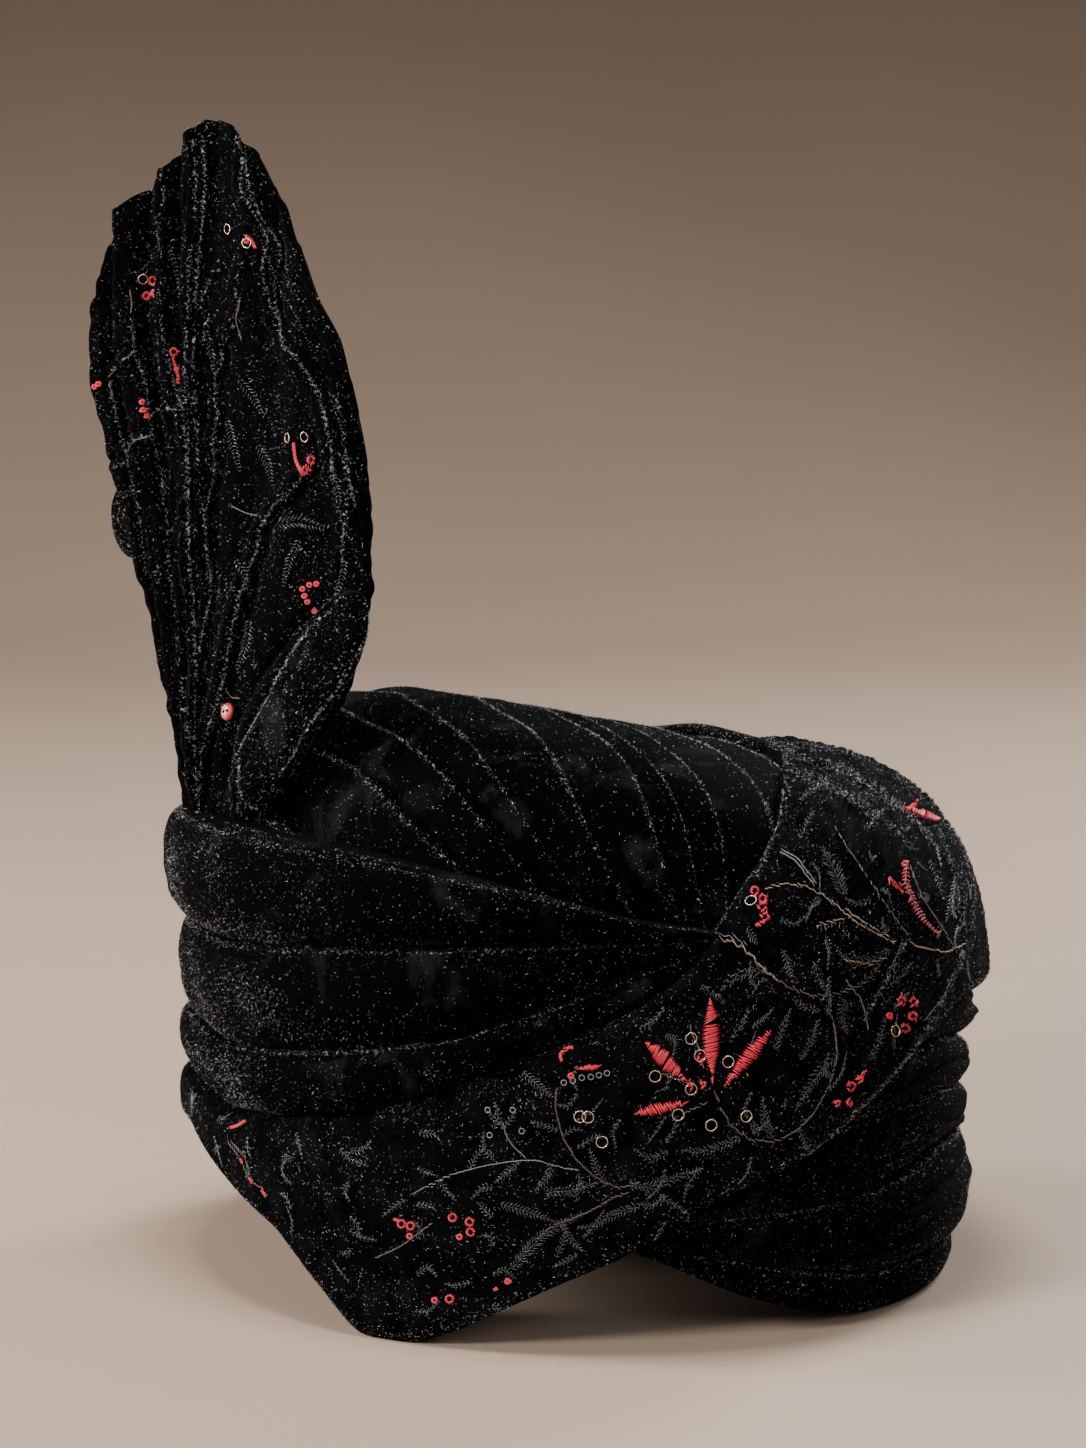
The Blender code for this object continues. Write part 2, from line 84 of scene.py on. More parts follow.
def ringRadius(at, halfWidth, halfDepth):
    turned = np.radians(at)
    return 1 / np.sqrt((np.sin(turned) / halfWidth) ** 2 + (np.cos(turned) / halfDepth) ** 2)


def outerRadius(at):
    return ringRadius(at, plan["halfWidth"], plan["halfDepth"])


def headRadius(at):
    return ringRadius(at, plan["headWidth"], plan["headDepth"])


# Point at an angle of the winding, a distance from the head's axis and a height.
def place(at, radius, height):
    turned = np.radians(at)
    return np.stack(np.broadcast_arrays(-radius * np.sin(turned), -radius * np.cos(turned), height), -1)


# The same line with points evenly spaced along it.
def evenly(path, count):
    path = np.asarray(path, float)
    run = np.r_[0, np.cumsum(np.linalg.norm(np.diff(path, axis=0), axis=1))]
    at = np.linspace(0, run[-1], count)
    return np.stack([np.interp(at, run, path[:, i]) for i in range(path.shape[1])], -1)


# Smooth curve through a few points: the even polyline, averaged over its neighbours, with both
# ends carried on straight so that the averaging doesn't pull them in.
def rounded(path, count):
    path = np.asarray(path, float)
    fine = evenly(path, count * 4)
    half = max(2 * count // max(len(path), 3), 1)
    bell = np.exp(-np.linspace(-1.8, 1.8, 2 * half + 1) ** 2)
    half = min(half, len(fine) - 1)
    bell = bell[len(bell) // 2 - half:len(bell) // 2 + half + 1]
    before, after = 2 * fine[:1] - fine[half:0:-1], 2 * fine[-1:] - fine[-2:-half - 2:-1]
    lined = np.concatenate([before, fine, after])
    columns = [np.convolve(lined[:, i], bell / bell.sum(), "valid") for i in range(path.shape[1])]
    return evenly(np.stack(columns, -1), count)


# Vectors made one long.
def toUnit(vectors):
    return vectors / np.maximum(np.linalg.norm(vectors, axis=-1, keepdims=True), tiny)


# So many angles, evenly round a circle.
def roundTurn(count):
    return math.tau * np.arange(count) / count


def lengthOf(path):
    return np.linalg.norm(np.diff(path, axis=0), axis=1).sum()


# Put points in millimetres about the head's axis and faces into an object at the origin.
def keepMesh(name, points, faces, material, slot):
    mesh = bpy.data.meshes.new(name)
    mesh.from_pydata(((points + shift) * mm).tolist(), [], faces)
    mesh.update()
    mesh.polygons.foreach_set("use_smooth", np.full(len(mesh.polygons), True))
    made = bpy.data.objects.new(name, mesh)
    mesh.materials.append(material)
    bpy.context.scene.collection.objects.link(made)
    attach(made, "root")
    return made


# Quads between the neighbours of a grid that is numbered row by row.
def gridFaces(rows, columns, closedRows=False, closedColumns=False, first=0):
    steps = np.arange(rows - (not closedRows)), np.arange(columns - (not closedColumns))
    i, j = (index.ravel() for index in np.meshgrid(*steps, indexing="ij"))
    k, m = (i + 1) % rows, (j + 1) % columns
    return np.stack([i * columns + j, i * columns + m, k * columns + m, k * columns + j], -1) + first


# Turn all faces round if the closed surface that they make has a negative volume.
def outward(points, faces):
    corners = points[np.asarray([f[:3] for f in faces])]
    quads = points[np.asarray([[f[0], f[2], f[-1]] for f in faces])]
    volume = np.linalg.det(corners).sum() + np.linalg.det(quads).sum()
    return [f[::-1] for f in faces] if volume < 0 else faces


# Points and faces of a body through closed rings, with a fan of triangles over each end.
def tube(grid):
    rows, columns = grid.shape[:2]
    points = np.concatenate([grid.reshape(-1, 3), grid[0].mean(0)[None], grid[-1].mean(0)[None]])
    faces = gridFaces(rows, columns, closedColumns=True).tolist()
    ring = np.arange(columns)
    following = (ring + 1) % columns
    last = (rows - 1) * columns
    faces += np.stack([following, ring, np.full(columns, rows * columns)], -1).tolist()
    faces += np.stack([last + ring, last + following, np.full(columns, rows * columns + 1)], -1).tolist()
    return points, outward(points, faces)


# Points and faces of a wall between two grids, closed along its four edges.
def slab(front, back):
    rows, columns = front.shape[:2]
    count = rows * columns
    points = np.concatenate([front.reshape(-1, 3), back.reshape(-1, 3)])
    faces = gridFaces(rows, columns).tolist() + gridFaces(rows, columns, first=count)[:, ::-1].tolist()
    index = np.arange(count).reshape(rows, columns)
    rim = np.concatenate([index[0, :-1], index[:-1, -1], index[-1, :0:-1], index[:0:-1, 0]])
    beside = np.roll(rim, -1)
    faces += np.stack([beside, rim, rim + count, beside + count], -1).tolist()
    return points, outward(points, faces)


# Unit normals of a grid from the cross product of its two directions, on the side that most of
# the ways given by towards point to.
def gridNormals(grid, towards=None):
    normal = toUnit(np.cross(np.gradient(grid, axis=0), np.gradient(grid, axis=1)))
    return normal if towards is None else normal * np.sign((normal * towards).sum(-1).mean())


lens = dict(spot=(-0.37354, -1.38507, 0.33703), right=(0.965926, -0.258819, 0.0),
            back=(-0.256890, -0.958726, 0.121869), focal=120.0, sensor=36.0)
photo = dict(wide=1086, tall=1448)


def makeCamera():
    made = bpy.data.objects.new("camera", bpy.data.cameras.new("camera"))
    bpy.context.scene.collection.objects.link(made)
    made.data.sensor_fit = "VERTICAL"
    made.data.sensor_height = lens["sensor"]
    made.data.lens = lens["focal"]
    right, back = Vector(lens["right"]).normalized(), Vector(lens["back"]).normalized()
    up = back.cross(right)
    made.rotation_mode = "QUATERNION"
    made.rotation_quaternion = (-back).to_track_quat("-Z", "Y")
    made.location = lens["spot"]
    bpy.context.scene.camera = made
    return np.array(right), np.array(up), np.array(back)


viewRight, viewUp, viewBack = makeCamera()
stage("camera")


# Where points, in millimetres about the head's axis, fall in the 1086 x 1448 view.
def pixels(points):
    seen = (points + shift) * mm - np.array(lens["spot"])
    depth = -(seen @ viewBack)
    scale = lens["focal"] / lens["sensor"] * photo["tall"] / depth
    x, y = seen @ viewRight * scale, seen @ viewUp * scale
    return np.stack([photo["wide"] / 2 + x, photo["tall"] / 2 - y], -1)


# Give a value, or another node's output, to an input.
def feed(material, socket, value):
    if isinstance(value, bpy.types.NodeSocket):
        material.node_tree.links.new(value, socket)
    else:
        socket.default_value = value


def feedNode(material, made, inputs):
    for name, value in inputs.items():
        feed(material, made.inputs[name.replace("_", " ")], value)
    return made


def node(material, kind, **inputs):
    return feedNode(material, material.node_tree.nodes.new("ShaderNode" + kind), inputs)


def maths(material, operation, *values):
    made = node(material, "Math")
    made.operation = operation
    for socket, value in zip(made.inputs, values):
        feed(material, socket, value)
    return made.outputs[0]


def blendColours(material, *values):
    made = node(material, "Mix")
    made.data_type = "RGBA"
    for k, value in zip((0, 6, 7), values):  # the share and the two colours
        feed(material, made.inputs[k], value)
    return made.outputs[2]


# New material and the place on the object that its textures follow.
def newMaterial(name):
    made = bpy.data.materials.new(name)
    made.use_nodes = True
    return made, node(made, "TexCoord").outputs["Object"]


def finishMaterial(material, **inputs):
    feedNode(material, material.node_tree.nodes["Principled BSDF"], inputs)
    return material


# Velvet colours: deep is the pile's own black. pressed is the lighter tone of crushed patches, partly worn
# pile and partly painted sheen. glint is the grey of painted glints, which are painted highlights.
velvetLook = dict(
    deep=(0.0002, 0.0002, 0.0003, 1), pressed=(0.0150, 0.0152, 0.0175, 1), glint=(0.16, 0.165, 0.18, 1),
    crushSize=60.0, crushed=(0.54, 0.80), napSize=1900.0, napFloor=0.3, bump=0.0004,
    glintSize=2300.0, glintReach=0.30, glints=1.0, glintsWorn=0.05, glintsBare=0.012, glintShine=0.45,
    rough=0.8, sheen=0.008, sheenRough=0.25, sheenTint=(0.80, 0.84, 0.94, 1), shine=0.015,
)


# Black pile: crushed patches from broad noise, nap from fine noise, and sparse painted glints where
# a small cell's random number is high and the point lies near the cell's middle. The crushed
# patches' lighter colour is partly worn pile and partly painted sheen. The glints are grey dots
# painted into the base colour as highlights of fibre tips.
def velvet(name, **changes):
    look = {**velvetLook, **changes}
    made, spot = newMaterial(name)
    crush = node(made, "TexNoise", Vector=spot, Scale=look["crushSize"], Detail=5.0, Roughness=0.62,
                 Distortion=0.5).outputs["Fac"]
    nap = node(made, "TexNoise", Vector=spot, Scale=look["napSize"], Detail=3.0,
               Roughness=0.7).outputs["Fac"]
    low, high = look["crushed"]
    # Mask of the crushed patches, which lighten the base colour: partly wear, partly painted sheen.
    wearAndSheen = node(made, "MapRange", Value=crush, From_Min=low, From_Max=high).outputs["Result"]
    patch = maths(made, "MULTIPLY", wearAndSheen, maths(made, "ADD", nap, look["napFloor"]))
    base = blendColours(made, patch, look["deep"], look["pressed"])
    cells = node(made, "TexVoronoi", Vector=spot, Scale=look["glintSize"])
    near = maths(made, "LESS_THAN", cells.outputs["Distance"], look["glintReach"])
    chance = node(made, "SeparateColor", Color=cells.outputs["Color"]).outputs[0]
    often = maths(made, "MULTIPLY_ADD", wearAndSheen, -look["glintsWorn"] * look["glints"],
                  1.0 - look["glintsBare"] * look["glints"])
    # Mask of the painted glints: grey dots in the base colour that stand in for highlights on fibre tips.
    paintedGlint = maths(made, "MULTIPLY", near, maths(made, "GREATER_THAN", chance, often))
    relief = maths(made, "MULTIPLY_ADD", crush, 2.0, nap)
    bump = node(made, "Bump", Height=relief, Strength=0.6, Distance=look["bump"])
    return finishMaterial(
        made, Base_Color=blendColours(made, paintedGlint, base, look["glint"]),
        Roughness=maths(made, "MULTIPLY_ADD", paintedGlint, -look["glintShine"], look["rough"]),
        Sheen_Weight=look["sheen"], Sheen_Roughness=look["sheenRough"], Sheen_Tint=look["sheenTint"],
        Specular_IOR_Level=look["shine"], Normal=bump.outputs["Normal"])


threadLook = dict(broadSize=240.0, fineSize=5200.0, bump=0.00012, lighter=0.02)


# Twisted thread: its colour and roughness wander with two scales of noise, and the fine one
# raises single filaments.
def thread(name, colour, shine, rough, metallic=0.0, spread=0.35):
    made, spot = newMaterial(name)
    broad = node(made, "TexNoise", Vector=spot, Scale=threadLook["broadSize"], Detail=2.0).outputs["Fac"]
    fine = node(made, "TexNoise", Vector=spot, Scale=threadLook["fineSize"], Detail=2.0).outputs["Fac"]
    dark = tuple(c * (1 - spread) for c in colour) + (1,)
    light = tuple(min(1, c * (1 + spread) + threadLook["lighter"]) for c in colour) + (1,)
    share = maths(made, "MULTIPLY_ADD", fine, 0.5, maths(made, "MULTIPLY", broad, 0.5))
    bump = node(made, "Bump", Height=fine, Strength=0.5, Distance=threadLook["bump"])
    return finishMaterial(
        made, Base_Color=blendColours(made, share, dark, light),
        Roughness=maths(made, "MULTIPLY_ADD", broad, 0.2, rough - 0.1),
        Metallic=metallic, Specular_IOR_Level=shine, Normal=bump.outputs["Normal"])


# Velvets of the pieces: glints sets how many painted glints there are, and pressed sets the crushed tone,
# which is partly painted sheen.
plainVelvet = velvet("plainVelvet")
bandVelvet = velvet("bandVelvet", glints=1.6, crushSize=110.0, pressed=(0.0045, 0.0045, 0.0055, 1),
                    crushed=(0.42, 0.72))
fanVelvet = velvet("fanVelvet", glints=0.8, crushSize=120.0, pressed=(0.0012, 0.0012, 0.0016, 1),
                   crushed=(0.42, 0.72))
fibreLook = dict(speckSize=1100.0, paintedGlint=(0.46, 0.70), power=1.6, shine=0.8)


# Loose silk tips: most are dark, and a noise finer than their spacing paints a few bright. These are
# painted glints that stand in for tips catching the light.
def fibre(name, dark, glintColour, rough):
    made, spot = newMaterial(name)
    speck = node(made, "TexNoise", Vector=spot, Scale=fibreLook["speckSize"], Detail=1.0).outputs["Fac"]
    low, high = fibreLook["paintedGlint"]
    paintedGlint = node(made, "MapRange", Value=speck, From_Min=low, From_Max=high).outputs["Result"]
    share = maths(made, "POWER", paintedGlint, fibreLook["power"])
    return finishMaterial(
        made, Base_Color=blendColours(made, share, dark, glintColour),
        Roughness=maths(made, "MULTIPLY_ADD", speck, 0.2, rough - 0.1),
        Specular_IOR_Level=maths(made, "MULTIPLY", share, fibreLook["shine"]))


# Pile fibres: black, with painted glints in their bright colour.
pileFibre = fibre("pileFibre", (0.002, 0.002, 0.0025, 1), (0.80, 0.81, 0.84, 1), 0.45)
threads = dict(
    red=thread("redThread", (0.58, 0.022, 0.050), 0.45, 0.40),
    bronze=thread("bronzeThread", (0.115, 0.078, 0.056), 0.9, 0.32, metallic=0.3, spread=0.75),
    gold=thread("goldThread", (0.36, 0.26, 0.18), 0.9, 0.30, metallic=0.4, spread=0.6),
    grey=thread("greyThread", (0.15, 0.153, 0.165), 1.0, 0.30, spread=0.8),
    jet=thread("jetThread", (0.028, 0.029, 0.033), 1.0, 0.26, spread=0.8),
    sequin=thread("sequinMetal", (0.50, 0.39, 0.29), 0.8, 0.22, metallic=1.0, spread=0.6),
)
buttonRed = thread("buttonRed", (0.50, 0.040, 0.045), 0.9, 0.22, spread=0.1)
stage("materials")


pileFacts = dict(shortest=0.5, longest=1.3, thick=0.075, root=0.1)
pileBasket = {}


# Points and faces of closed thorns: a small triangle round each start and one point at its end.
def thorns(start, end, normal, thick):
    along = end - start
    side = toUnit(np.cross(along, normal))
    up = toUnit(np.cross(side, along))
    turn = roundTurn(3)
    base = side[:, None] * np.cos(turn)[None, :, None] + up[:, None] * np.sin(turn)[None, :, None]
    points = np.concatenate([start[:, None] + base * thick[:, None, None], end[:, None]], 1)
    each = np.array([(0, 1, 2), (0, 3, 1), (1, 3, 2), (2, 3, 0)])
    faces = (4 * np.arange(len(start))[:, None, None] + each[None]).reshape(-1, 3)
    return points.reshape(-1, 3), outward(points.reshape(-1, 3), faces.tolist())


# Keep loose fibres for a piece. Each starts just under the cloth and leans out of it by a share
# drawn between two limits, at a heading drawn round the cloth's second direction.
def keepFibres(name, root, normal, first, rng, lean, lay):
    count = len(root)
    first = toUnit(first - normal * (first * normal).sum(1, keepdims=True))
    second = np.cross(normal, first)
    heading = rng.normal(math.pi / 2, 1 / lay, (count, 1))
    lift = rng.uniform(*lean, (count, 1))
    way = (first * np.cos(heading) + second * np.sin(heading)) * np.sqrt(1 - lift ** 2) + normal * lift
    size = rng.uniform(pileFacts["shortest"], pileFacts["longest"], (count, 1))
    thick = pileFacts["thick"] * rng.uniform(0.5, 1.2, count)
    start = root - normal * pileFacts["root"]
    pileBasket.setdefault(name, []).append((start, root + way * size, normal, thick))


# Fibres over a grid: cells are drawn by their area times a weight.
def pileOn(name, grid, towards, weight, count, seed, lean=(0.1, 0.75), lay=0.6):
    rng = np.random.default_rng(seed)
    normals = gridNormals(grid, towards)
    along, across = np.diff(grid, axis=0)[:, :-1], np.diff(grid, axis=1)[:-1]
    chance = (np.linalg.norm(np.cross(along, across), axis=-1) * np.maximum(weight[:-1, :-1], 0)).ravel()
    i, j = np.divmod(rng.choice(len(chance), count, p=chance / chance.sum()), across.shape[1])
    u, v = rng.random((2, count, 1))
    root = grid[i, j] + along[i, j] * u + across[i, j] * v
    keepFibres(name, root, normals[i, j], along[i, j], rng, lean, lay)


# Fibres along a path over a cloth: so many a millimetre, strewn about it by a bell curve.
def pileAlong(name, cloth, find, path, often, seed, strewn=0.45, lean=(0.1, 0.85), lay=0.3):
    rng = np.random.default_rng(seed)
    path = rounded(path, 60)
    at = rng.random(max(int(lengthOf(path) * pixelSize * often), 2)) * (len(path) - 1.001)
    i, t = at.astype(int), (at % 1)[:, None]
    spots = path[i] * (1 - t) + path[i + 1] * t + rng.normal(0, strewn / pixelSize, (len(at), 2))
    root, normal = onCloth(cloth, find(spots))
    keepFibres(name, root, normal, rng.normal(0, 1, root.shape), rng, lean, lay)


def finishPile():
    for name, parts in pileBasket.items():
        start, end, normal, thick = (np.concatenate(part) for part in zip(*parts))
        keepMesh("pile_" + name, *thorns(start, end, normal, thick), pileFibre, name)


# Points and faces of thin closed spindles from start to end: rings of an ellipse, wide by
# tall, whose size follows the sine of the way along, between two points, arched along normal.
def spindles(start, end, normal, wide, tall, sides=3, rows=1):
    count = len(start)
    along = end - start
    side = toUnit(np.cross(toUnit(along), normal))
    up = np.cross(side, toUnit(along))
    share = (np.arange(rows) + 1) / (rows + 1)
    swell = np.sin(math.pi * share) ** (0.6 if rows > 1 else 1.0)
    turn = roundTurn(sides)
    wide, tall = (np.broadcast_to(size, count)[:, None, None] for size in (wide, tall))
    ring = (side[:, None, None] * (np.cos(turn)[None, None] * swell[None, :, None] * wide)[..., None]
            + up[:, None, None] * (np.sin(turn)[None, None] * swell[None, :, None] * tall)[..., None])
    middle = start[:, None] + along[:, None] * share[None, :, None]
    middle = middle + up[:, None] * (np.sin(math.pi * share)[None, :, None] * tall * 0.9)
    body = (middle[:, :, None] + ring).reshape(count, -1, 3)
    points = np.concatenate([start[:, None], body, end[:, None]], 1)
    each = points.shape[1]
    faces = []
    for j in range(sides):
        k = (j + 1) % sides
        faces.append((0, 1 + k, 1 + j))
        for i in range(rows - 1):
            low, high = 1 + i * sides, 1 + (i + 1) * sides
            faces.append((low + j, low + k, high + k, high + j))
        last = 1 + (rows - 1) * sides
        faces.append((last + j, last + k, each - 1))
    base = np.arange(count)[:, None] * each
    made = []
    for face in faces:
        made += (base + np.array(face)[None]).tolist()
    return points.reshape(-1, 3), made


# Heights of the seams: at, rim, base, split, low, mid, high, top, seat.
seams = np.array([
    (-4, 34, 35, 35, 114.0, 114.9, 116.0, 117.2, 100), (0, 33, 35, 35, 108.5, 111.4, 115.4, 118.6, 99),
    (7, 30, 30, 30, 97.2, 106.5, 115.0, 120.9, 98), (17, 20, 20, 20, 86.1, 97.3, 114.0, 126.5, 98),
    (31, 4, 4, 4, 73.5, 86.5, 112.2, 132.3, 100), (36, 0, 0, 0, 70.0, 84.3, 111.5, 133.7, 102),
    (45, 0, 0, 0, 64.3, 80.7, 110.1, 135.7, 104.5), (50, 9, 9, 9, 61.8, 79.2, 109.0, 136.3, 105.5),
    (60, 25, 25, 25, 57.5, 76.5, 106.7, 137.2, 107.1), (76, 36, 36, 36, 54.8, 73.6, 104.4, 137.7, 104.9),
    (92, 46, 46, 46, 59.5, 76.0, 104.0, 137.4, 104.5), (105, 43, 43, 43, 60.0, 76.0, 103.0, 136.0, 103.5),
    (120, 30, 30, 30, 56.0, 74.0, 102.0, 133.5, 102.5), (135, 12, 12, 17, 50.0, 72.0, 100.0, 131.0, 100.5),
    (150, 0, 5, 28, 44.0, 70.0, 98.0, 128.5, 98.5), (162, 0, 9, 35, 40.5, 68.5, 96.5, 126.5, 97),
    (172, 0, 9, 38.5, 39.0, 67.0, 95.5, 125.2, 96), (180, 0, 9, 38.0, 38.0, 66.0, 95.0, 124.0, 95.5),
    (210, 0, 9, 38.0, 38.0, 62.0, 88.0, 115.0, 92), (225, 12, 20, 40.0, 40.0, 60.0, 84.0, 106.0, 90),
    (240, 20, 28, 43.0, 43.0, 57.5, 77.0, 98.0, 88.5), (255, 20, 28, 43.0, 43.0, 55.5, 72.0, 91.0, 87.5),
    (270, 13, 21, 41.0, 41.0, 53.5, 68.0, 86.0, 86.5), (285, 4, 12.5, 39.7, 39.7, 52.5, 66.0, 84.0, 84.6),
    (300, 0, 10.5, 42.0, 42.0, 56.0, 71.0, 87.0, 87.6), (313, 0, 12.0, 44.5, 44.5, 60.0, 75.5, 91.0, 91.6),
    (323, 0, 13.0, 40.4, 40.4, 60.0, 74.5, 94.0, 94.6), (332, 1, 14.1, 38.0, 38.0, 58.3, 73.5, 96.0, 97),
    (342, 5, 18.0, 36.3, 36.3, 57.0, 74.0, 97.0, 98), (352, 12, 23.0, 36.0, 36.0, 55.0, 74.0, 97.5, 98.5),
    (360, 20, 27.0, 37.0, 37.0, 54.0, 72.0, 96.0, 99), (367, 27, 31.0, 38.0, 38.0, 53.0, 70.0, 88.0, 98),
    (378, 22, 26.0, 39.0, 39.0, 51.0, 64.0, 80.0, 98), (388, 8, 10.0, 38.0, 38.0, 48.0, 58.0, 70.0, 100),
])
seamNames = ("at", "rim", "base", "split", "low", "mid", "high", "top", "seat")


def seam(at, column, spread=2.0):
    return eased(at, seams[:, 0], seams[:, seamNames.index(column)], spread)


# Turns: angles at their ends, the seams under and over them, bulge at the front, right and left,
# and inner folds, from an angle and a share of the height (-1 to 1) to another, with their depth.
rolls = dict(
    turn_1=dict(
        start=-4, end=351, under="high", over="top", bulge=(0.955, 1.000, 0.975), seed=11, dent=0.9,
        folds=[(225, 0.9, 300, 0.1, 2.2), (262, -0.1, 351, 0.45, 1.8), (180, -0.9, 262, -0.3, 1.6),
               (8, -0.4, 46, 0.2, 0.7)]),
    turn_2=dict(
        start=-2, end=364, under="mid", over="high", bulge=(0.960, 0.967, 0.968), seed=12, dent=0.8,
        folds=[(200, 0.3, 262, -0.2, 1.6), (290, 0.2, 360, -0.2, 1.8), (120, 0.5, 190, 0.1, 1.4)]),
    turn_3=dict(
        start=0, end=378, under="low", over="mid", bulge=(0.962, 0.965, 0.962), seed=13, dent=0.7,
        folds=[(190, 0.1, 280, 0.3, 1.6), (282, -0.4, 372, 0.1, 2.0)]),
    turn_4=dict(
        start=123, end=366, under="base", over="split", bulge=(0.960, 0.970, 0.970), seed=14, dent=0.9,
        folds=[(284, 0.38, 366, 0.15, 2.4), (296, -0.25, 366, -0.45, 2.2), (190, 0.2, 275, -0.2, 1.8)]),
)


# Points of the outer face, how much deeper than the solids the creases run, and rings a degree.
rollLook = dict(round=41, tuckedIn=0.035, lip=0.9, fullness=0.10, perDegree=1.1)


def bulgeAt(at, bulge):
    front, right, left = bulge
    values = (front, (front + right) / 2, right, right, left, left, front)
    return eased(at, (0, 35, 80, 150, 285, 330, 385), values, 4)


# Sharp creases: each one's depth fades with the distance from a line between two places, and
# the cloth under the line stands a little proud, as a fold that laps upwards does.
def foldRelief(at, level, folds):
    total = np.zeros(np.broadcast(at, level).shape)
    for first, low, last, high, depth in folds:
        share = np.clip((at - first) / (last - first), 0, 1)
        line = low + (high - low) * share + 0.05 * np.sin(at / 7)
        window = smooth(at, first - 6, first + 10) * (1 - smooth(at, last - 8, last + 6))
        away = level - line
        total += window * depth * (0.55 * np.exp(-np.abs(away + 0.16) / 0.16) * (away < 0.02)
                                   - 1.0 * np.exp(-np.abs(away - 0.02) / 0.07))
    return total


# Rings of a padded roll. The outer face is a rounded box between the two seams, from the
# pressed radius out to the bulge. Dents, creases and a lip on its upper edge ride on it.
def rollGrid(at, low, high, bulge, facts):
    turned = np.linspace(-math.pi / 2, math.pi / 2, rollLook["round"])[None]
    power = 2.3 + 0.9 * smooth(turned, -0.2, 0.6)
    across = np.abs(np.cos(turned)) ** (2 / power)
    level = np.sign(np.sin(turned)) * np.abs(np.sin(turned)) ** (2 / power)
    at, low, high = at[:, None], low[:, None] + gap / 2, high[:, None] - gap / 2
    outer, inner = outerRadius(at), headRadius(at)
    tall = high - low
    lively = smooth(tall, 3, 16)
    pressed = outer * (crease - rollLook["tuckedIn"] * lively)
    depth = outer * bulge[:, None] - pressed
    relief = facts["dent"] * waves(at, level * 14, 42, facts["seed"]) * across
    relief = relief + 0.35 * facts["dent"] * waves(at, level * 30, 15, facts["seed"] + 50) * across
    relief = (relief + foldRelief(at, level, facts["folds"]) * across ** 0.5) * lively
    full = 1 + rollLook["fullness"] * level * (1 - level ** 2)
    radius = pressed + depth * across * full + relief
    lip = rollLook["lip"] * lively * smooth(level, 0.55, 0.95) * across
    face = place(at, radius, (low + high) / 2 + tall / 2 * level + lip)
    inward = np.linspace(0.0, 1.0, 5)[None, 1:]
    roof = place(at, pressed + (inner + 2 - pressed) * inward, high)
    ends = place(at, inner, low + tall * np.array([[0.7, 0.3]]))
    floor = place(at, inner + 2 + (pressed - inner - 2) * inward[:, :-1], low)
    back = place(at, inner + 2, low)
    return np.concatenate([face, roof, ends, back, floor], 1)


# Round the two ends of a body of rings: the last rings shrink towards their middles.
def closeEnds(grid, reach=1.6):
    caps = []
    for end, beside in ((grid[0], grid[1]), (grid[-1], grid[-2])):
        middle = end.mean(0)
        way = toUnit(middle - beside.mean(0)) * reach
        caps.append([middle + (end - middle) * share + way * out
                     for share, out in ((0.55, 1.0), (0.88, 0.6))])
    return np.concatenate([caps[0], grid, caps[1][::-1]])


grids = {}
for name, facts in rolls.items():
    count = int((facts["end"] - facts["start"]) * rollLook["perDegree"]) + 1
    angles = np.linspace(facts["start"], facts["end"], count)
    grid = rollGrid(angles, seam(angles, facts["under"]), seam(angles, facts["over"]),
                    bulgeAt(angles, facts["bulge"]), facts)
    grids[name] = (angles, grid)
    piece = keepMesh("velvet_" + name, *tube(closeEnds(grid)), plainVelvet, name)
    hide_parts(name)
stage("turns")


baseLook = dict(round=25, start=146, end=366, count=200, deep=7, lid=2, dent=0.5)


# Rings of the lowest roll: a half ellipse outside, pulled out flat above its middle.
def baseGrid(angles):
    at = angles[:, None]
    low, high = seam(at, "rim"), seam(at, "base") - gap / 2
    turned = np.linspace(-math.pi / 2, math.pi / 2, baseLook["round"])[None]
    across = np.cos(turned) ** 0.7
    level = np.sin(turned)
    inner, outer = headRadius(at), outerRadius(at) * crease
    deep, lid = baseLook["deep"], baseLook["lid"]
    radius = outer - deep + deep * across + baseLook["dent"] * waves(at, level * 9, 16, 21) * across
    radius = np.where(level > 0, np.maximum(radius, outer - lid + lid * across), radius)
    face = place(at, radius, (low + high) / 2 + (high - low) / 2 * level)
    roof = place(at, outer - lid + (inner + 2 * lid - outer) * np.array([[0.4, 1.0]]), high)
    back = place(at, inner, (low + high) / 2)
    sole = place(at, inner + lid + (outer - inner - deep - lid) * np.array([[0.0, 0.5]]), low)
    return np.concatenate([face, roof, back, sole], 1)


angles = np.linspace(baseLook["start"], baseLook["end"], baseLook["count"])
grids["base_roll"] = (angles, baseGrid(angles))
piece = keepMesh("velvet_base_roll", *tube(closeEnds(grids["base_roll"][1])), plainVelvet, "base_roll")
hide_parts("base_roll")
stage("base roll")


dome = dict(halfDepth=121.0, halfWidth=104.0, waist=75.0, rise=98.0, power=4.5, fallSide=0.002,
            fallBack=0.0006, turn=math.radians(5), wall=2.8, depth=4.4, sweep=7.0, soft=0.35)
# Angles over the head at which the pleats' folded edges lie, from the right side.
pleatEdges = np.array((20, 29, 37, 45, 52, 62.5, 75, 83, 92, 104, 114, 125, 138, 152, 171), float)


def domeFall(x, y):
    return 1 - dome["fallSide"] * np.maximum(0, x + 50) - dome["fallBack"] * np.maximum(0, y + 20)


# Height of the smooth crown over a place in plan, in the head's own axes.
def domeHeight(x, y):
    at = np.degrees(np.arctan2(-x, -y))
    share = np.minimum(1, np.hypot(x, y) / ringRadius(at, dome["halfWidth"], dome["halfDepth"]))
    rise = dome["rise"] * (1 - share ** dome["power"]) ** (1 / dome["power"])
    return dome["waist"] + rise * domeFall(x, y)


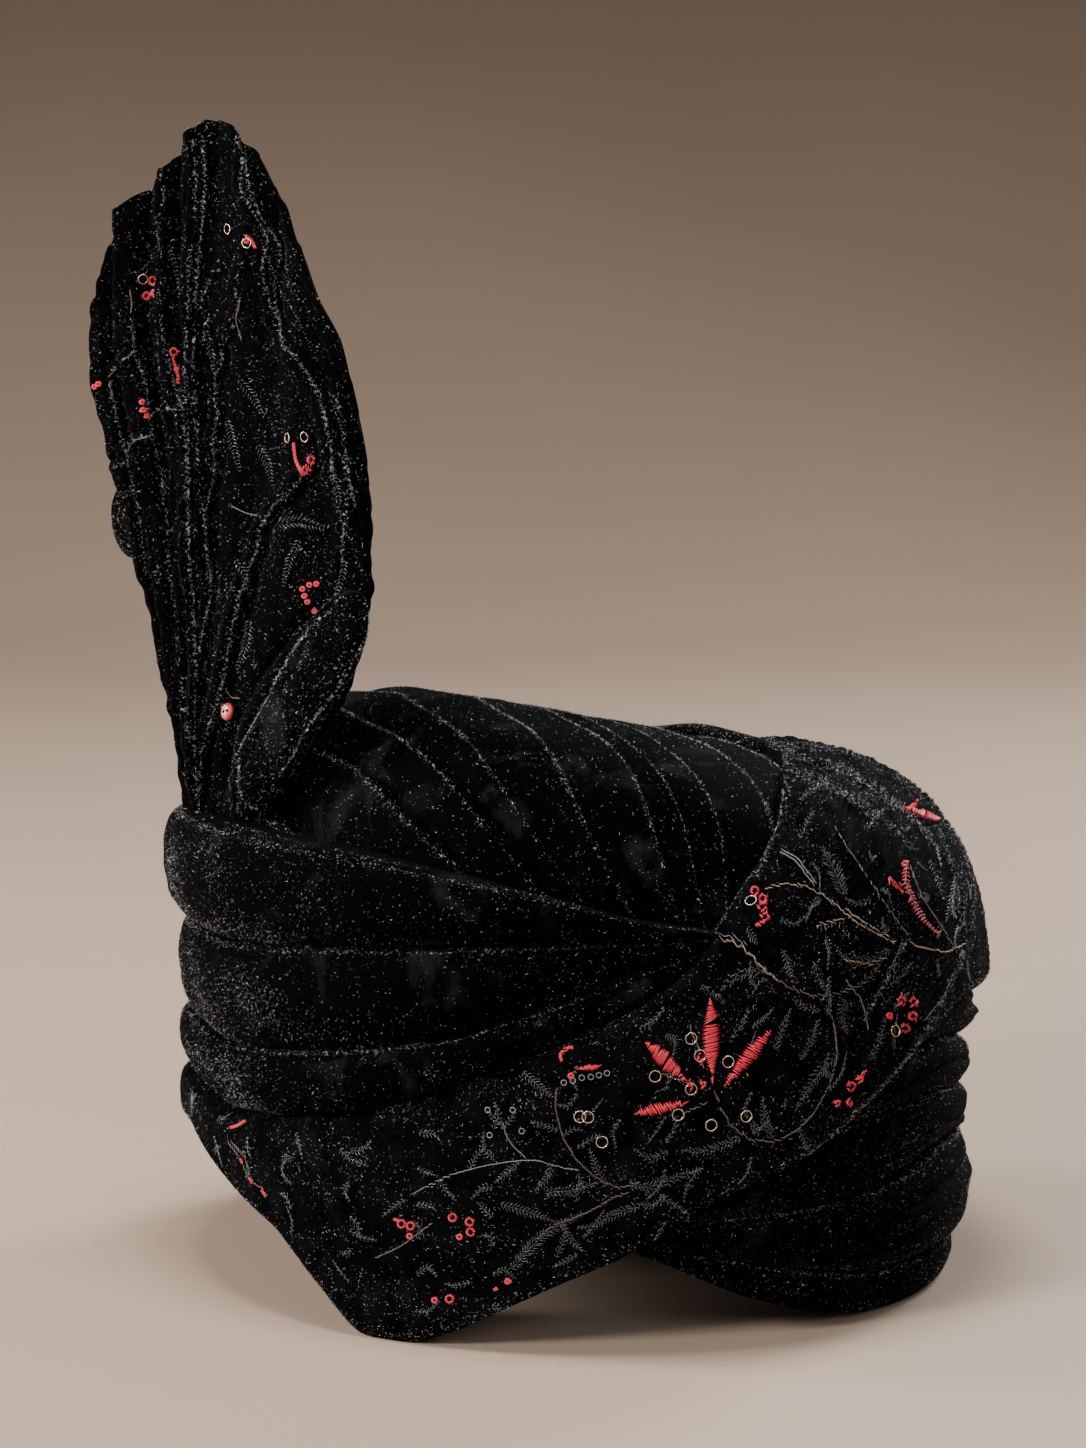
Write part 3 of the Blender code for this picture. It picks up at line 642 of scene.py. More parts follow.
# Point of the crown on the line from its front meeting point over the top to the back, at an
# angle along the line, for a line at an angle over the head; offset is added to its distance.
def domePoint(along, over, offset):
    x, y, z = -np.sin(along) * np.cos(over), -np.cos(along), np.sin(along) * np.sin(over)
    c, s = math.cos(dome["turn"]), math.sin(dome["turn"])
    x, y = x * c - y * s, x * s + y * c
    power = dome["power"]
    flat = np.hypot(x / dome["halfWidth"], y / dome["halfDepth"])
    reach = (flat ** power + np.abs(z / dome["rise"]) ** power) ** (-1 / power) + offset
    x, y, z = x * reach, y * reach, z * reach
    return np.stack([x, y, dome["waist"] + z * domeFall(x, y)], -1)


# Angle along each line at which it rises over its seat, found by halving an interval.
def pleatStart(over, front):
    low = np.full(over.shape, 0.02 if front else math.pi - 0.02)
    high = np.full(over.shape, math.pi / 2)
    for _ in range(30):
        middle = (low + high) / 2
        spot = domePoint(middle, over, 0)
        under = spot[..., 2] < seam(np.degrees(np.arctan2(-spot[..., 0], -spot[..., 1])) % 360, "seat")
        low, high = np.where(under, middle, low), np.where(under, high, middle)
    return high


# Across one knife pleat: share of the way to the next folded edge, and rise of the cloth.
pleatShape = np.array([
    (0.00, 0.02), (0.10, 0.12), (0.22, 0.27), (0.36, 0.44), (0.50, 0.60), (0.64, 0.75), (0.77, 0.88),
    (0.87, 0.96),
    (0.935, 1.0), (0.98, 0.985), (1.01, 0.90), (1.025, 0.72), (1.02, 0.48), (1.01, 0.22),
])


# Front and back of the crown: lines over the head, most of them near the folded edges, which
# slide and sweep a little to the side and rise by their place in the pleat.
def crownGrids():
    lines, rises, which = [], [], []
    for k, (first, last) in enumerate(zip(pleatEdges, pleatEdges[1:])):
        lines.append(first + (last - first) * pleatShape[:, 0])
        rises.append(pleatShape[:, 1])
        which.append(np.full(len(pleatShape), k))
    lines, rises, which = map(np.concatenate, (lines, rises, which))
    over = np.radians(lines)
    begin, end = pleatStart(over, True), pleatStart(over, False)
    t = np.linspace(0, 1, 90)[None]
    along = begin[:, None] + (end - begin)[:, None] * t
    phase = which[:, None]
    slide = np.radians(0.5 * np.sin(along * 5 + phase * 2.1) + 0.35 * np.sin(along * 11 + phase))
    sweep = np.radians(dome["sweep"]) * smooth(np.sin(along), 0.3, 1.0)
    sweep = sweep * (1 - smooth(lines, 70, 95))[:, None] * smooth(lines, 20, 40)[:, None]
    bent = over[:, None] + slide * smooth(np.sin(along), 0.2, 0.6) + sweep
    hidden = np.interp(lines, [130, 150], [1, 0.1])[:, None]
    depth = dome["depth"] * np.sin(along) ** 0.5 * hidden
    soft = dome["soft"] * waves(along * 60, lines[:, None], 26, 31) * rises[:, None]
    offset = depth * (rises[:, None] - 0.5) + soft
    front = domePoint(along, bent, offset)
    back = domePoint(along, bent, -depth * 0.5 - dome["wall"] + 0.9)
    return lines, rises, front, back


crownLines, crownRises, crownFront, crownBack = crownGrids()
crownPiece = keepMesh("velvet_crown", *slab(crownFront, crownBack), plainVelvet, "crown")
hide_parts("crown")
stage("crown")


none = float("nan")
# Lap by lap: at, lower edge, bulge, inner edge, rise, corner, inner.
laps = np.array([
    (160, none, 0.945, 0, none, 0.30, 0), (120, none, 0.962, 0, none, 0.30, 0),
    (92, none, 0.965, 0, none, 0.30, 0), (45, none, 0.967, 0, none, 0.30, 0),
    (31, none, 0.972, 108, none, 0.30, 108), (20, none, 0.980, 121, none, 0.32, 121),
    (9, none, 0.990, 126, none, 0.35, 126), (1, 40.0, 1.005, 127, none, 0.40, 128),
    (-4, 45.0, 1.010, 122, 120, 0.45, 128),
    (-8, 49.0, 1.015, 118.5, 129, 0.50, 129), (-15, 55.0, 1.015, 111, 141.5, 0.58, 128),
    (-22, 64.0, 1.015, 98, none, 0.66, 126), (-33, 79.0, 1.015, 81, none, 0.74, 121),
    (-46, 89.0, 1.013, 70, none, 0.80, 95), (-64, 87.0, 1.013, 62, none, 0.84, 95),
    (-75, 84.0, 1.013, 60, none, 0.86, 95), (-90, 86.0, 1.013, 60, none, 0.90, 95),
    (-110, 92.5, 1.010, 66, none, 0.95, 95), (-135, 106.0, 1.000, 80, none, 0.90, 95),
    (-160, 118.5, 0.985, 97, none, 0.72, 98), (-180, 124.0, 0.975, 104, none, 0.60, 100),
    (-205, 127.5, 0.965, 104, none, 0.55, 100), (-231, 132.0, 0.915, 106, 137, 0.60, 103),
])[::-1]
# Rows and columns, millimetres that it lies over the crown, relief in millimetres, gathers by
# millimetre, and the row where the bulge begins.
bandLook = dict(along=340, across=210, lift=4.5, gather=1.5, ripple=0.35, swell=0.9, crumple=0.8,
                pace=1.2, bulge=170, start=160, end=-231)


# Lower edge, top, outer radius, inner edge, inner radius and corner of the band at angles.
def bandColumns(at):
    places = laps[:, 0]
    lows = np.where(np.isnan(laps[:, 1]), seam(places, "split"), laps[:, 1])
    overTurn = gap / 2 * (at > rolls["turn_4"]["start"])
    low = np.where(at >= 9, seam(at, "split") + overTurn, eased(at, places, lows, 1.5) + gap / 2)
    x, y = -laps[:, 3] * np.sin(np.radians(places)), -laps[:, 3] * np.cos(np.radians(places))
    rises = np.where(np.isnan(laps[:, 4]), domeHeight(x, y) + bandLook["lift"], laps[:, 4])
    rises = np.where(places > -4, seam(places, "low"), rises)
    mixed = smooth(at, -1.5, 3.0)
    top = mixed * (seam(at, "low") - gap / 2) + (1 - mixed) * eased(at, places, rises, 1.5)
    outer = outerRadius(at) * eased(at, places, laps[:, 2], 2.5)
    edge = eased(at, places, laps[:, 3], 1.5)
    head = headRadius(at)
    edge = np.where(at > 0, np.maximum(edge, head), edge)
    inner = np.maximum(eased(at, places, laps[:, 6], 1.5), head)
    return low, top, outer, edge, inner, eased(at, places, laps[:, 5], 1.5)


# Rings of the band: a rounded quarter box from its lower edge up over the bulge to its inner
# edge, evenly spaced by arc length, and a plain underside. Gathers run with its length.
def bandGrid(at):
    low, top, outer, edge, inner, corner = bandColumns(at)
    turned = (np.linspace(0, 1, 240) ** 2.2) * math.pi / 2
    turned = np.unique(np.concatenate([turned, math.pi / 2 - turned]))
    across = np.abs(np.cos(turned))[None] ** corner[:, None]
    across[:, -1] = 0
    up = np.sin(turned)[None] ** corner[:, None]
    radius = edge[:, None] + (outer - edge)[:, None] * across
    height = low[:, None] + (top - low)[:, None] * up
    steps = (np.diff(side, axis=1, prepend=side[:, :1]) for side in (radius, height))
    run = np.cumsum(np.hypot(*steps), 1)
    share = np.linspace(0, 1, bandLook["across"])
    radius, height = (np.stack([np.interp(share * r[-1], r, x) for r, x in zip(run, side)])
                      for side in (radius, height))
    arc = share[None] * run[:, -1:]
    a = at[:, None]
    far = arc[:, -1:] - arc
    hem = 1.6 * np.exp(-arc / 1.1) + 1.2 * np.exp(-far / 1.2)
    tight = smooth(-a, 12, 30) * (0.35 + 0.65 * smooth(share[None], 0.25, 0.75))
    lines = arc * bandLook["pace"] + 2.2 * waves(a, arc, 34, 61) + 0.02 * a
    folds = np.abs(np.sin(lines)) ** 0.7 - 0.6
    body = smooth(arc, 0.5, 4) * smooth(far, 0.5, 4)
    relief = bandLook["gather"] * tight * folds * (0.6 + 0.4 * waves(a, arc, 20, 62)) * body
    relief = relief + bandLook["ripple"] * waves(a * 1.6, arc, 9, 63) * body * (0.4 + 0.6 * tight)
    relief = relief + bandLook["swell"] * waves(a, arc, 45, 64) * body
    relief = relief + bandLook["crumple"] * tight * waves(a * 2, arc, 9, 65) * body
    flat = place(a, radius, height)
    normal = gridNormals(flat, place(a, np.ones_like(radius), np.full_like(radius, 0.3)))
    face = flat + normal * (relief - hem)[..., None]
    under = np.where(a < -3, edge[:, None] - 3, edge[:, None])
    drop = np.where(a < -3, top[:, None] - bandLook["lift"] * 2.2, top[:, None] - 2)
    level = np.where(a < -3, 0.35, 0.5)
    middle = (edge + inner)[:, None] / 2
    foot = low[:, None]
    behind = place(a, np.concatenate([under, middle, inner[:, None], outer[:, None] - 6], 1),
                   np.concatenate([drop, foot + (top - low)[:, None] * level, foot + 1, foot], 1))
    return face, np.concatenate([face, behind], 1)


bandAngles = np.linspace(bandLook["start"], bandLook["end"], bandLook["along"])
bandFace, bandRings = bandGrid(bandAngles)
bandPiece = keepMesh("velvet_embroidered_band", *tube(closeEnds(bandRings, 1.0)), bandVelvet,
                     "embroidered_band")
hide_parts("embroidered_band")
stage("band")


# Middle of the fan's foot, the way along it to the front, and the way out over the ear.
foot = dict(spot=np.array([-108.0, -1.5, 137.9]), across=toUnit(np.array([0.474, -0.880, 0])),
            out=toUnit(np.array([-0.880, -0.474, 0])))
# Fold lines of the fan: place across at the foot, then across, height, bow, where it peaks, out.
folds = np.array([
    (-16.5, -50, 302, -15, 2.6, 0), (-15.4, -47, 308, -11, 2.4, -5), (-14.2, -41, 316, -7, 2.2, 3),
    (-13.2, -33, 319, -5, 2.0, -6), (-12.0, -21, 328, -2, 1.6, 3), (-10.6, -15, 330, 0, 1.0, -6),
    (-8.6, -3, 338, -1, 1.0, 8), (-5.0, 7, 341, 0, 1.0, 3), (-1.0, 22, 333, 3, 1.0, 5),
    (4.0, 32, 317, 6, 1.0, 1), (8.5, 42, 303, 11, 0.9, 4), (11.5, 54, 278, 19, 0.9, 1),
    (14.0, 63, 243, 27, 0.85, -2),
])
fanLook = dict(rows=215, wall=2.4, puff=1.6, ripple=0.7, swell=0.6, crumple=0.4, scallop=2.4,
               thinOver=1.2)

# Ridges of the fan as the view shows them, in pixels from top to foot: path, rise in millimetres
# and reach in pixels.
fanLines = dict(
    outerFold=([(109, 376), (113, 402), (122, 441), (126, 454), (135, 491), (140, 524), (146, 573)],
               1.3, 6),
    secondFold=([(131, 320), (133, 351), (138, 363), (146, 384), (147, 408), (150, 425), (156, 452),
                 (164, 485), (166, 534), (171, 580), (177, 632), (185, 706), (191, 743)], 1.4, 6),
    thirdTop=([(160, 166), (158, 182), (165, 191), (161, 212), (158, 228), (160, 262), (161, 320)], 1.1,
              5),
    thirdFold=([(161, 320), (164, 345), (177, 390), (183, 411), (186, 452), (187, 495), (189, 580)],
               1.3, 6),
    longRidge=([(202, 136), (205, 166), (204, 197), (203, 221), (200, 243), (197, 273), (196, 304),
                (195, 335), (193, 359), (195, 398), (197, 437), (201, 495), (206, 544), (210, 580)],
               1.6, 4),
    longRidgeTwin=([(193, 140), (196, 180), (194, 230), (189, 273), (187, 335), (185, 380), (188, 437),
                    (189, 495), (188, 540), (194, 614), (196, 670), (194, 734), (196, 780), (199, 817)],
                   1.4, 4),
    innerWave=([(220, 345), (224, 359), (216, 374), (214, 390), (218, 413), (214, 429), (212, 445),
                (216, 468), (212, 485), (204, 515), (204, 544), (211, 575), (211, 596), (205, 620),
                (199, 651)], 1.5, 4),
    rightRidge=([(280, 320), (282, 345), (300, 363), (313, 382), (321, 402), (327, 425), (331, 444),
                 (334, 478)], 1.8, 7),
    upperWave=([(236, 139), (243, 154), (242, 169), (241, 185), (245, 198), (253, 212), (260, 224),
                (268, 240), (261, 266), (266, 289), (276, 318)], 1.5, 4),
    upperTwin=([(245, 160), (251, 197), (263, 221), (276, 238), (281, 252), (276, 270), (274, 296),
                (280, 322)], 1.3, 4),
    innerHook=([(225, 266), (213, 273), (205, 289), (202, 307)], 1.0, 4),
    lowerHook=([(202, 344), (206, 330), (210, 316)], 1.0, 4),
    middleLine=([(243, 258), (240, 272), (234, 289), (240, 300), (232, 330), (222, 346)], 1.1, 4),
    veeRidge=([(313, 462), (296, 484), (274, 505), (261, 526), (255, 553), (245, 580), (240, 595),
               (231, 632), (224, 670), (220, 697), (209, 725), (201, 753), (199, 799)], 2.0, 6),
    rightFold=([(341, 454), (350, 482), (356, 507)], 1.0, 4),
    rightEdge=([(336, 392), (344, 430), (348, 470), (345, 520), (342, 560)], 1.0, 6),
    flapGroove=([(322, 606), (306, 620), (286, 644), (265, 672), (251, 697), (238, 722), (232, 750),
                 (230, 782)], -1.6, 6),
    tuckOne=([(109, 376), (122, 361), (134, 352)], 1.2, 4),
    tuckTwo=([(126, 454), (129, 446), (138, 439), (152, 435)], 1.2, 4),
    tuckThree=([(150, 417), (158, 410), (167, 409), (181, 410)], 1.2, 4),
    tuckFour=([(113, 468), (122, 464), (134, 462)], 1.0, 4),
    tuckFive=([(119, 501), (132, 493), (140, 491)], 1.0, 4),
)
fanHollow = dict(middle=(248, 440), across=26, tall=78, depth=2.2)  # pixels of the view, and millimetres


# Height of a ridge along a path of the view: a bell over the distance from it, with a crease
# on its right, and both fade past the ends of the path.
def ridgeRelief(seen, path, rise, reach):
    line = rounded(path, 90)
    step = np.linalg.norm(line[1] - line[0])
    ahead = toUnit(np.gradient(line, axis=0))
    flat = seen.reshape(-1, 2)
    total = np.zeros(len(flat))
    low, high = line.min(0) - 5 * reach, line.max(0) + 5 * reach
    inside = np.nonzero(((flat > low) & (flat < high)).all(1))[0]
    off = flat[inside, None] - line[None]
    k = (off ** 2).sum(-1).argmin(1)
    off = off[np.arange(len(inside)), k]
    away = off[:, 0] * ahead[k, 1] - off[:, 1] * ahead[k, 0]
    past = np.maximum(np.abs((off * ahead[k]).sum(1)) - step, 0)
    shape = np.exp(-(away / reach) ** 2) - 0.65 * np.exp(-((away - 1.7 * reach) / reach) ** 2)
    total[inside] = rise * shape * np.exp(-(past / reach) ** 2)
    return total.reshape(seen.shape[:2])


def fanSpot(across, height, out):
    return (foot["spot"] + foot["across"] * across[..., None] + foot["out"] * out[..., None]
            + np.array([0, 0, 1.0]) * (height - foot["spot"][2])[..., None])


# Front and back of the fan. Columns lie between the fold lines, and each line leaves the foot,
# bows to its side and ends at the edge. Cloth swells between the left folds and ripples on the
# right panel, and the wall thins to nothing at the free edges.
def fanGrids():
    steps = np.array([0, 0.06, 0.15, 0.27, 0.4, 0.53, 0.66, 0.79, 0.91])
    left = np.concatenate([k + steps for k in range(6)])
    columns = np.unique(np.concatenate([left, np.linspace(6, 12, 108), [0.02, 0.05, 0.1, 11.98]]))
    rows = np.unique(np.concatenate([np.linspace(0, 1, fanLook["rows"]), [0.9975, 0.999]]))
    k = np.minimum(columns.astype(int), 11)
    t = columns - k
    f = folds[k] * (1 - t)[:, None] + folds[k + 1] * t[:, None]
    s = rows[:, None]
    c = columns[None]
    across = f[:, 0] + (f[:, 1] - f[:, 0]) * s + f[:, 3] * np.sin(math.pi * s ** f[:, 4])
    ridge = np.where(k % 2 == 1, t ** 2.2, 1 - (1 - t) ** 0.6)
    depth = np.where(columns < 6, folds[k, 5] * (1 - ridge) + folds[k + 1, 5] * ridge, f[:, 5])
    out = depth * (0.25 + 0.75 * s ** 0.7) + 0.36 * np.maximum(0, f[:, 0]) * (1 - s)
    height = foot["spot"][2] + (f[:, 2] - foot["spot"][2]) * s
    left = (1 - smooth(columns, 5.5, 6.2))[None]
    right = 1 - left
    puff = left * fanLook["puff"] * np.sin(math.pi * (c % 2) / 2) * smooth(s, 0.05, 0.4)
    flow = (c - 6) * 1.35 + 0.55 * np.sin(s * 9 + c * 0.5) + 0.3 * np.sin(s * 23 + c)
    ripple = right * fanLook["ripple"] * (np.abs(np.sin(math.pi * flow / 2)) ** 0.6 - 0.6)
    ripple = ripple * smooth(s, 0.03, 0.35)
    swell, crumple = waves(c * 5, s * 150, 26, 71), waves(c * 5, s * 150, 7, 72)
    cloth = fanLook["swell"] * swell + fanLook["crumple"] * crumple
    shoulder = np.exp(-((c - 10.9) / 0.9) ** 2) * smooth(s, 0.65, 1.0)
    out = out + (puff + ripple + cloth) * smooth(s, 0.0, 0.08)
    across = across + 0.5 * np.sin(s * 40 + c) * smooth(s, 0.2, 0.5) + 0.25 * np.sin(s * 97 + c * 2)
    across = across + 1.8 * shoulder - 1.1 * np.exp(-c / 0.7) * np.sin(math.pi * s)
    scallop = fanLook["scallop"] * (np.abs(np.sin(math.pi * c / 2)) - 0.6) * left
    scallop = scallop + 0.8 * np.sin(c * 7) * right
    height = height + scallop * smooth(s, 0.9, 1.0) + 1.4 * shoulder
    seen = pixels(fanSpot(across, height, out))
    relief = sum(ridgeRelief(seen, *facts) for facts in fanLines.values())
    apart = (seen - fanHollow["middle"]) / (fanHollow["across"], fanHollow["tall"])
    relief = relief - fanHollow["depth"] * np.exp(-(apart ** 2).sum(-1))
    middle = fanSpot(across, height, out + relief * smooth(s, 0.0, 0.06))
    fromEdge = np.minimum(np.minimum(c, 12 - c) * 8, (1 - s) * 190)
    full = np.clip(fromEdge / fanLook["thinOver"], 0, 1)
    half = fanLook["wall"] / 2 * np.sqrt(np.clip(1 - (1 - full) ** 2, 0.0004, 1))
    normal = gridNormals(middle, foot["out"])
    return columns, rows, middle + normal * half[..., None], middle - normal * half[..., None]


fanColumns, fanRows, fanFront, fanBack = fanGrids()
fanPiece = keepMesh("velvet_fan", *slab(fanFront, fanBack), fanVelvet, "fan")
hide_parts("fan")


# Strips of the plain fold at the fan's foot, from its top: left and its height, right and its
# height, thickness.
strips = np.array([(66, 209, 75, 208, 3.0), (54, 201, 77, 201, 5.5), (43, 188, 73, 189, 7.0),
                   (33, 174.5, 61, 176, 7.5),
                   (23.5, 163, 52, 165, 7.5), (17, 155, 41.5, 153, 7.0), (15.5, 147.5, 33, 145, 6.5),
                   (17, 140.2, 26, 138.6, 4.5)])


flapLook = dict(rings=90, round=56, out=9.0, dent=0.7, groove=0.9)


# Rings of a flattened fold: a squashed ellipse between its left and right edges.
def flapGrid():
    t = np.linspace(0, len(strips) - 1, flapLook["rings"])
    left, leftHeight, right, rightHeight, thick = (
        eased(t, np.arange(len(strips)), column, 0.35)[:, None] for column in strips.T)
    turned = roundTurn(flapLook["round"])[None]
    side = 0.5 + 0.5 * np.abs(np.cos(turned)) ** 0.75 * np.sign(np.cos(turned))
    across = left + (right - left) * side
    height = leftHeight + (rightHeight - leftHeight) * side
    groove = np.exp(-((side - 0.2 - 0.02 * t[:, None]) / 0.07) ** 2)
    dent = flapLook["dent"] * waves(across, height, 22, 81) - flapLook["groove"] * groove
    out = flapLook["out"] + thick / 2 * np.sin(turned) * (0.92 + 0.1 * side) + dent * np.sin(turned)
    return fanSpot(across, height, out)


flapRings = flapGrid()
# Its two long edges, in pixels of the view.
flapEdges = dict(
    left=[(331, 610), (314, 625), (294, 649), (273, 677), (259, 701), (246, 725), (240, 753),
          (238, 780), (242, 799), (253, 807)],
    right=[(373, 605), (371, 631), (362, 647), (353, 662), (342, 681), (331, 697), (316, 717),
           (301, 740), (290, 760), (279, 775)],
)
flapPiece = keepMesh("velvet_fan_flap", *tube(closeEnds(flapRings, 1.2)), plainVelvet, "fan_flap")
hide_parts("fan_flap")


backFold = dict(rings=30, round=36, across=-45, height=222, out=-4.4, wide=9.5, tall=12, thick=5.2,
                pinch=0.22)


# Rings of a small rounded fold: an ellipsoid pinched along one side.
def backFoldGrid():
    climb = np.linspace(-1.5, 1.5, backFold["rings"])[:, None]
    turned = roundTurn(backFold["round"])[None]
    pinch = backFold["pinch"] * np.exp(-((turned - 2.6) / 0.35) ** 2)
    size = np.cos(climb) * (1 + 0.06 * np.sin(3 * turned + 2 * climb) - pinch)
    return fanSpot(backFold["across"] + backFold["wide"] * size * np.cos(turned),
                   backFold["height"] + backFold["tall"] * np.sin(climb),
                   backFold["out"] + backFold["thick"] * size * np.sin(turned))


backFoldRings = backFoldGrid()
backFoldPiece = keepMesh("velvet_fan_back_fold", *tube(backFoldRings), plainVelvet, "fan_back_fold")
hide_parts("fan_back_fold")

# Places of the plain fold behind the last pleats: x, y, wide, tall.
bits = np.array([(33, 27, 5, 3), (40, 25, 11, 5), (48, 21, 14, 6.5), (56, 15, 14, 7), (63, 9, 12, 7),
                 (68, 5, 5, 4)])


tuckLook = dict(rings=60, round=40, wider=1.12, sunk=1)


# Rings of the fold that lies across the crown: ellipses standing across its line.
def tuckGrid():
    t = np.linspace(0, len(bits) - 1, tuckLook["rings"])
    x, y, wide, tall = (eased(t, np.arange(len(bits)), column, 0.4)[:, None] for column in bits.T)
    turned = roundTurn(tuckLook["round"])[None]
    t = t[:, None]
    ripple = 1 + 0.05 * np.sin(2 * t + 3 * turned) + 0.03 * waves(t * 8, turned * 6, 12, 83)
    across = y + wide * tuckLook["wider"] * ripple * np.cos(turned)
    height = domeHeight(x, y) + tall * ripple * np.sin(turned) - tuckLook["sunk"]
    return np.stack(np.broadcast_arrays(x, across, height), -1)


tuckRings = tuckGrid()
tuckPiece = keepMesh("velvet_top_tuck", *tube(closeEnds(tuckRings, 1.0)), plainVelvet, "top_tuck")
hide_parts("top_tuck")
stage("fan, flap and folds")


needle = dict(facing=0.08, solvable=1e-3, farthest=0.7)


# Cloth as the needle meets it: grid, outward normals and where each point falls in the view.
def clothOf(grid, towards):
    normals = gridNormals(grid, towards)
    return dict(grid=grid, normals=normals, seen=pixels(grid), basket={}, rings=[],
                facing=normals @ viewBack > needle["facing"])


def limited(cloth, i, j):
    rows, columns = cloth["facing"].shape
    return np.stack([np.clip(i, 0, rows - 1.001), np.clip(j, 0, columns - 1.001)], -1)


# Grid places of points of the 1086 x 1448 view: the nearest grid point that faces the camera, then
# one step along the two local directions, solved as a pair of equations.
def fromView(cloth, spots):
    spots = np.asarray(spots, float)
    i, j = np.nonzero(cloth["facing"])
    away = ((cloth["seen"][i, j][None] - spots[:, None]) ** 2).sum(-1)
    best = away.argmin(1)
    i, j = i[best], j[best]
    rows, columns = cloth["facing"].shape
    lowI, lowJ = np.clip(i - 1, 0, rows - 1), np.clip(j - 1, 0, columns - 1)
    highI, highJ = np.clip(i + 1, 0, rows - 1), np.clip(j + 1, 0, columns - 1)
    a = (cloth["seen"][highI, j] - cloth["seen"][lowI, j]) / (highI - lowI)[:, None]
    b = (cloth["seen"][i, highJ] - cloth["seen"][i, lowJ]) / (highJ - lowJ)[:, None]
    d = spots - cloth["seen"][i, j]
    size = a[:, 0] * b[:, 1] - a[:, 1] * b[:, 0]
    size = np.where(np.abs(size) < needle["solvable"], needle["solvable"], size)
    far = needle["farthest"]
    u = np.clip((d[:, 0] * b[:, 1] - d[:, 1] * b[:, 0]) / size, -far, far)
    v = np.clip((a[:, 0] * d[:, 1] - a[:, 1] * d[:, 0]) / size, -far, far)
    return limited(cloth, i + u, j + v)


# Grid places of points given in millimetres about a seat (row, column), turned by an angle.
def fromSeat(cloth, seat, turn, spots):
    spots = np.asarray(spots, float)
    i, j = int(seat[0]), int(seat[1])
    along = np.linalg.norm(cloth["grid"][i + 1, j] - cloth["grid"][i - 1, j]) / 2
    across = np.linalg.norm(cloth["grid"][i, j + 1] - cloth["grid"][i, j - 1]) / 2
    x = spots[:, 0] * math.cos(turn) - spots[:, 1] * math.sin(turn)
    y = spots[:, 0] * math.sin(turn) + spots[:, 1] * math.cos(turn)
    return limited(cloth, i + x / along, j + y / across)


# The two ways to give places on a cloth: as the view shows them, or about a seat.
def viewed(cloth):
    return lambda spots: fromView(cloth, spots)


def seated(cloth, seat, turn):
    return lambda spots: fromSeat(cloth, seat, turn, spots)


# Points and normals over the cloth at grid places, lifted by some millimetres.
def onCloth(cloth, spots, lift=0.0):
    i, j = spots[:, 0].astype(int), spots[:, 1].astype(int)
    u, v = (spots[:, 0] - i)[:, None], (spots[:, 1] - j)[:, None]
    found = []
    for layer in (cloth["grid"], cloth["normals"]):
        found.append((layer[i, j] * (1 - u) + layer[i + 1, j] * u) * (1 - v)
                     + (layer[i, j + 1] * (1 - u) + layer[i + 1, j + 1] * u) * v)
    normal = toUnit(found[1])
    return found[0] + normal * lift, normal


# Stitches from one set of grid places to another, kept until their thread's mesh is made.
def sew(cloth, threadName, start, end, wide=0.22, tall=0.2, lift=0.12):
    a, normalA = onCloth(cloth, start, lift)
    b, normalB = onCloth(cloth, end, lift)
    count = len(a)
    cloth["basket"].setdefault(threadName, []).append(
        (a, b, (normalA + normalB) / 2, np.broadcast_to(wide, count), np.broadcast_to(tall, count)))


petalFacts = dict(apart=0.55, wide=0.28, tall=0.42, crown=0.12, lift=0.45, slant=0.25, uneven=0.08)


# Satin petal: slanted stitches side by side across a leaf shape whose half width follows a sine
# that peaks past the middle.
def petal(cloth, find, row, unit=pixelSize):
    base, tip, wide = np.array(row[0], float), np.array(row[1], float), row[2]
    length = np.linalg.norm(tip - base)
    axis = (tip - base) / length
    side = np.array([-axis[1], axis[0]])
    count = max(int(length * unit / petalFacts["apart"]), 5)
    share = (np.arange(count) + 0.5) / count
    half = wide / 2 * (0.04 + 0.96 * np.sin(math.pi * share ** 1.2))
    half = half * (1 + petalFacts["uneven"] * waves(share * 40, 0 * share, 6, count))
    middle = base + axis * (share * length)[:, None]
    reach = side * half[:, None] + axis * (half * petalFacts["slant"])[:, None]
    sew(cloth, "red", find(middle - reach), find(middle + reach), wide=petalFacts["wide"],
        tall=petalFacts["tall"] + petalFacts["crown"] * np.sin(math.pi * share), lift=petalFacts["lift"])


stemFacts = dict(long=1.15, overlap=0.35, tall=0.9)


# Stem stitch: short slanted stitches that overlap along a smooth path.
def stem(cloth, find, path, threadName="bronze", unit=pixelSize, wide=0.24, rows=1, spread=0.5,
         twist=0.16):
    count = max(int(lengthOf(path) * unit / stemFacts["long"]), 3)
    line = rounded(path, count + 2)
    ahead = np.diff(line, axis=0)
    side = toUnit(np.stack([-ahead[:, 1], ahead[:, 0]], -1))
    lean = ahead * stemFacts["overlap"] + side * twist / unit
    for row in range(rows):
        off = side * (row - (rows - 1) / 2) * spread / unit
        sew(cloth, threadName, find(line[:-1] + off - lean), find(line[1:] + off + lean), wide=wide,
            tall=wide * stemFacts["tall"])


featherFacts = dict(apart=1.0, uneven=0.22, size=0.74, tall=1.1, spine=0.12)


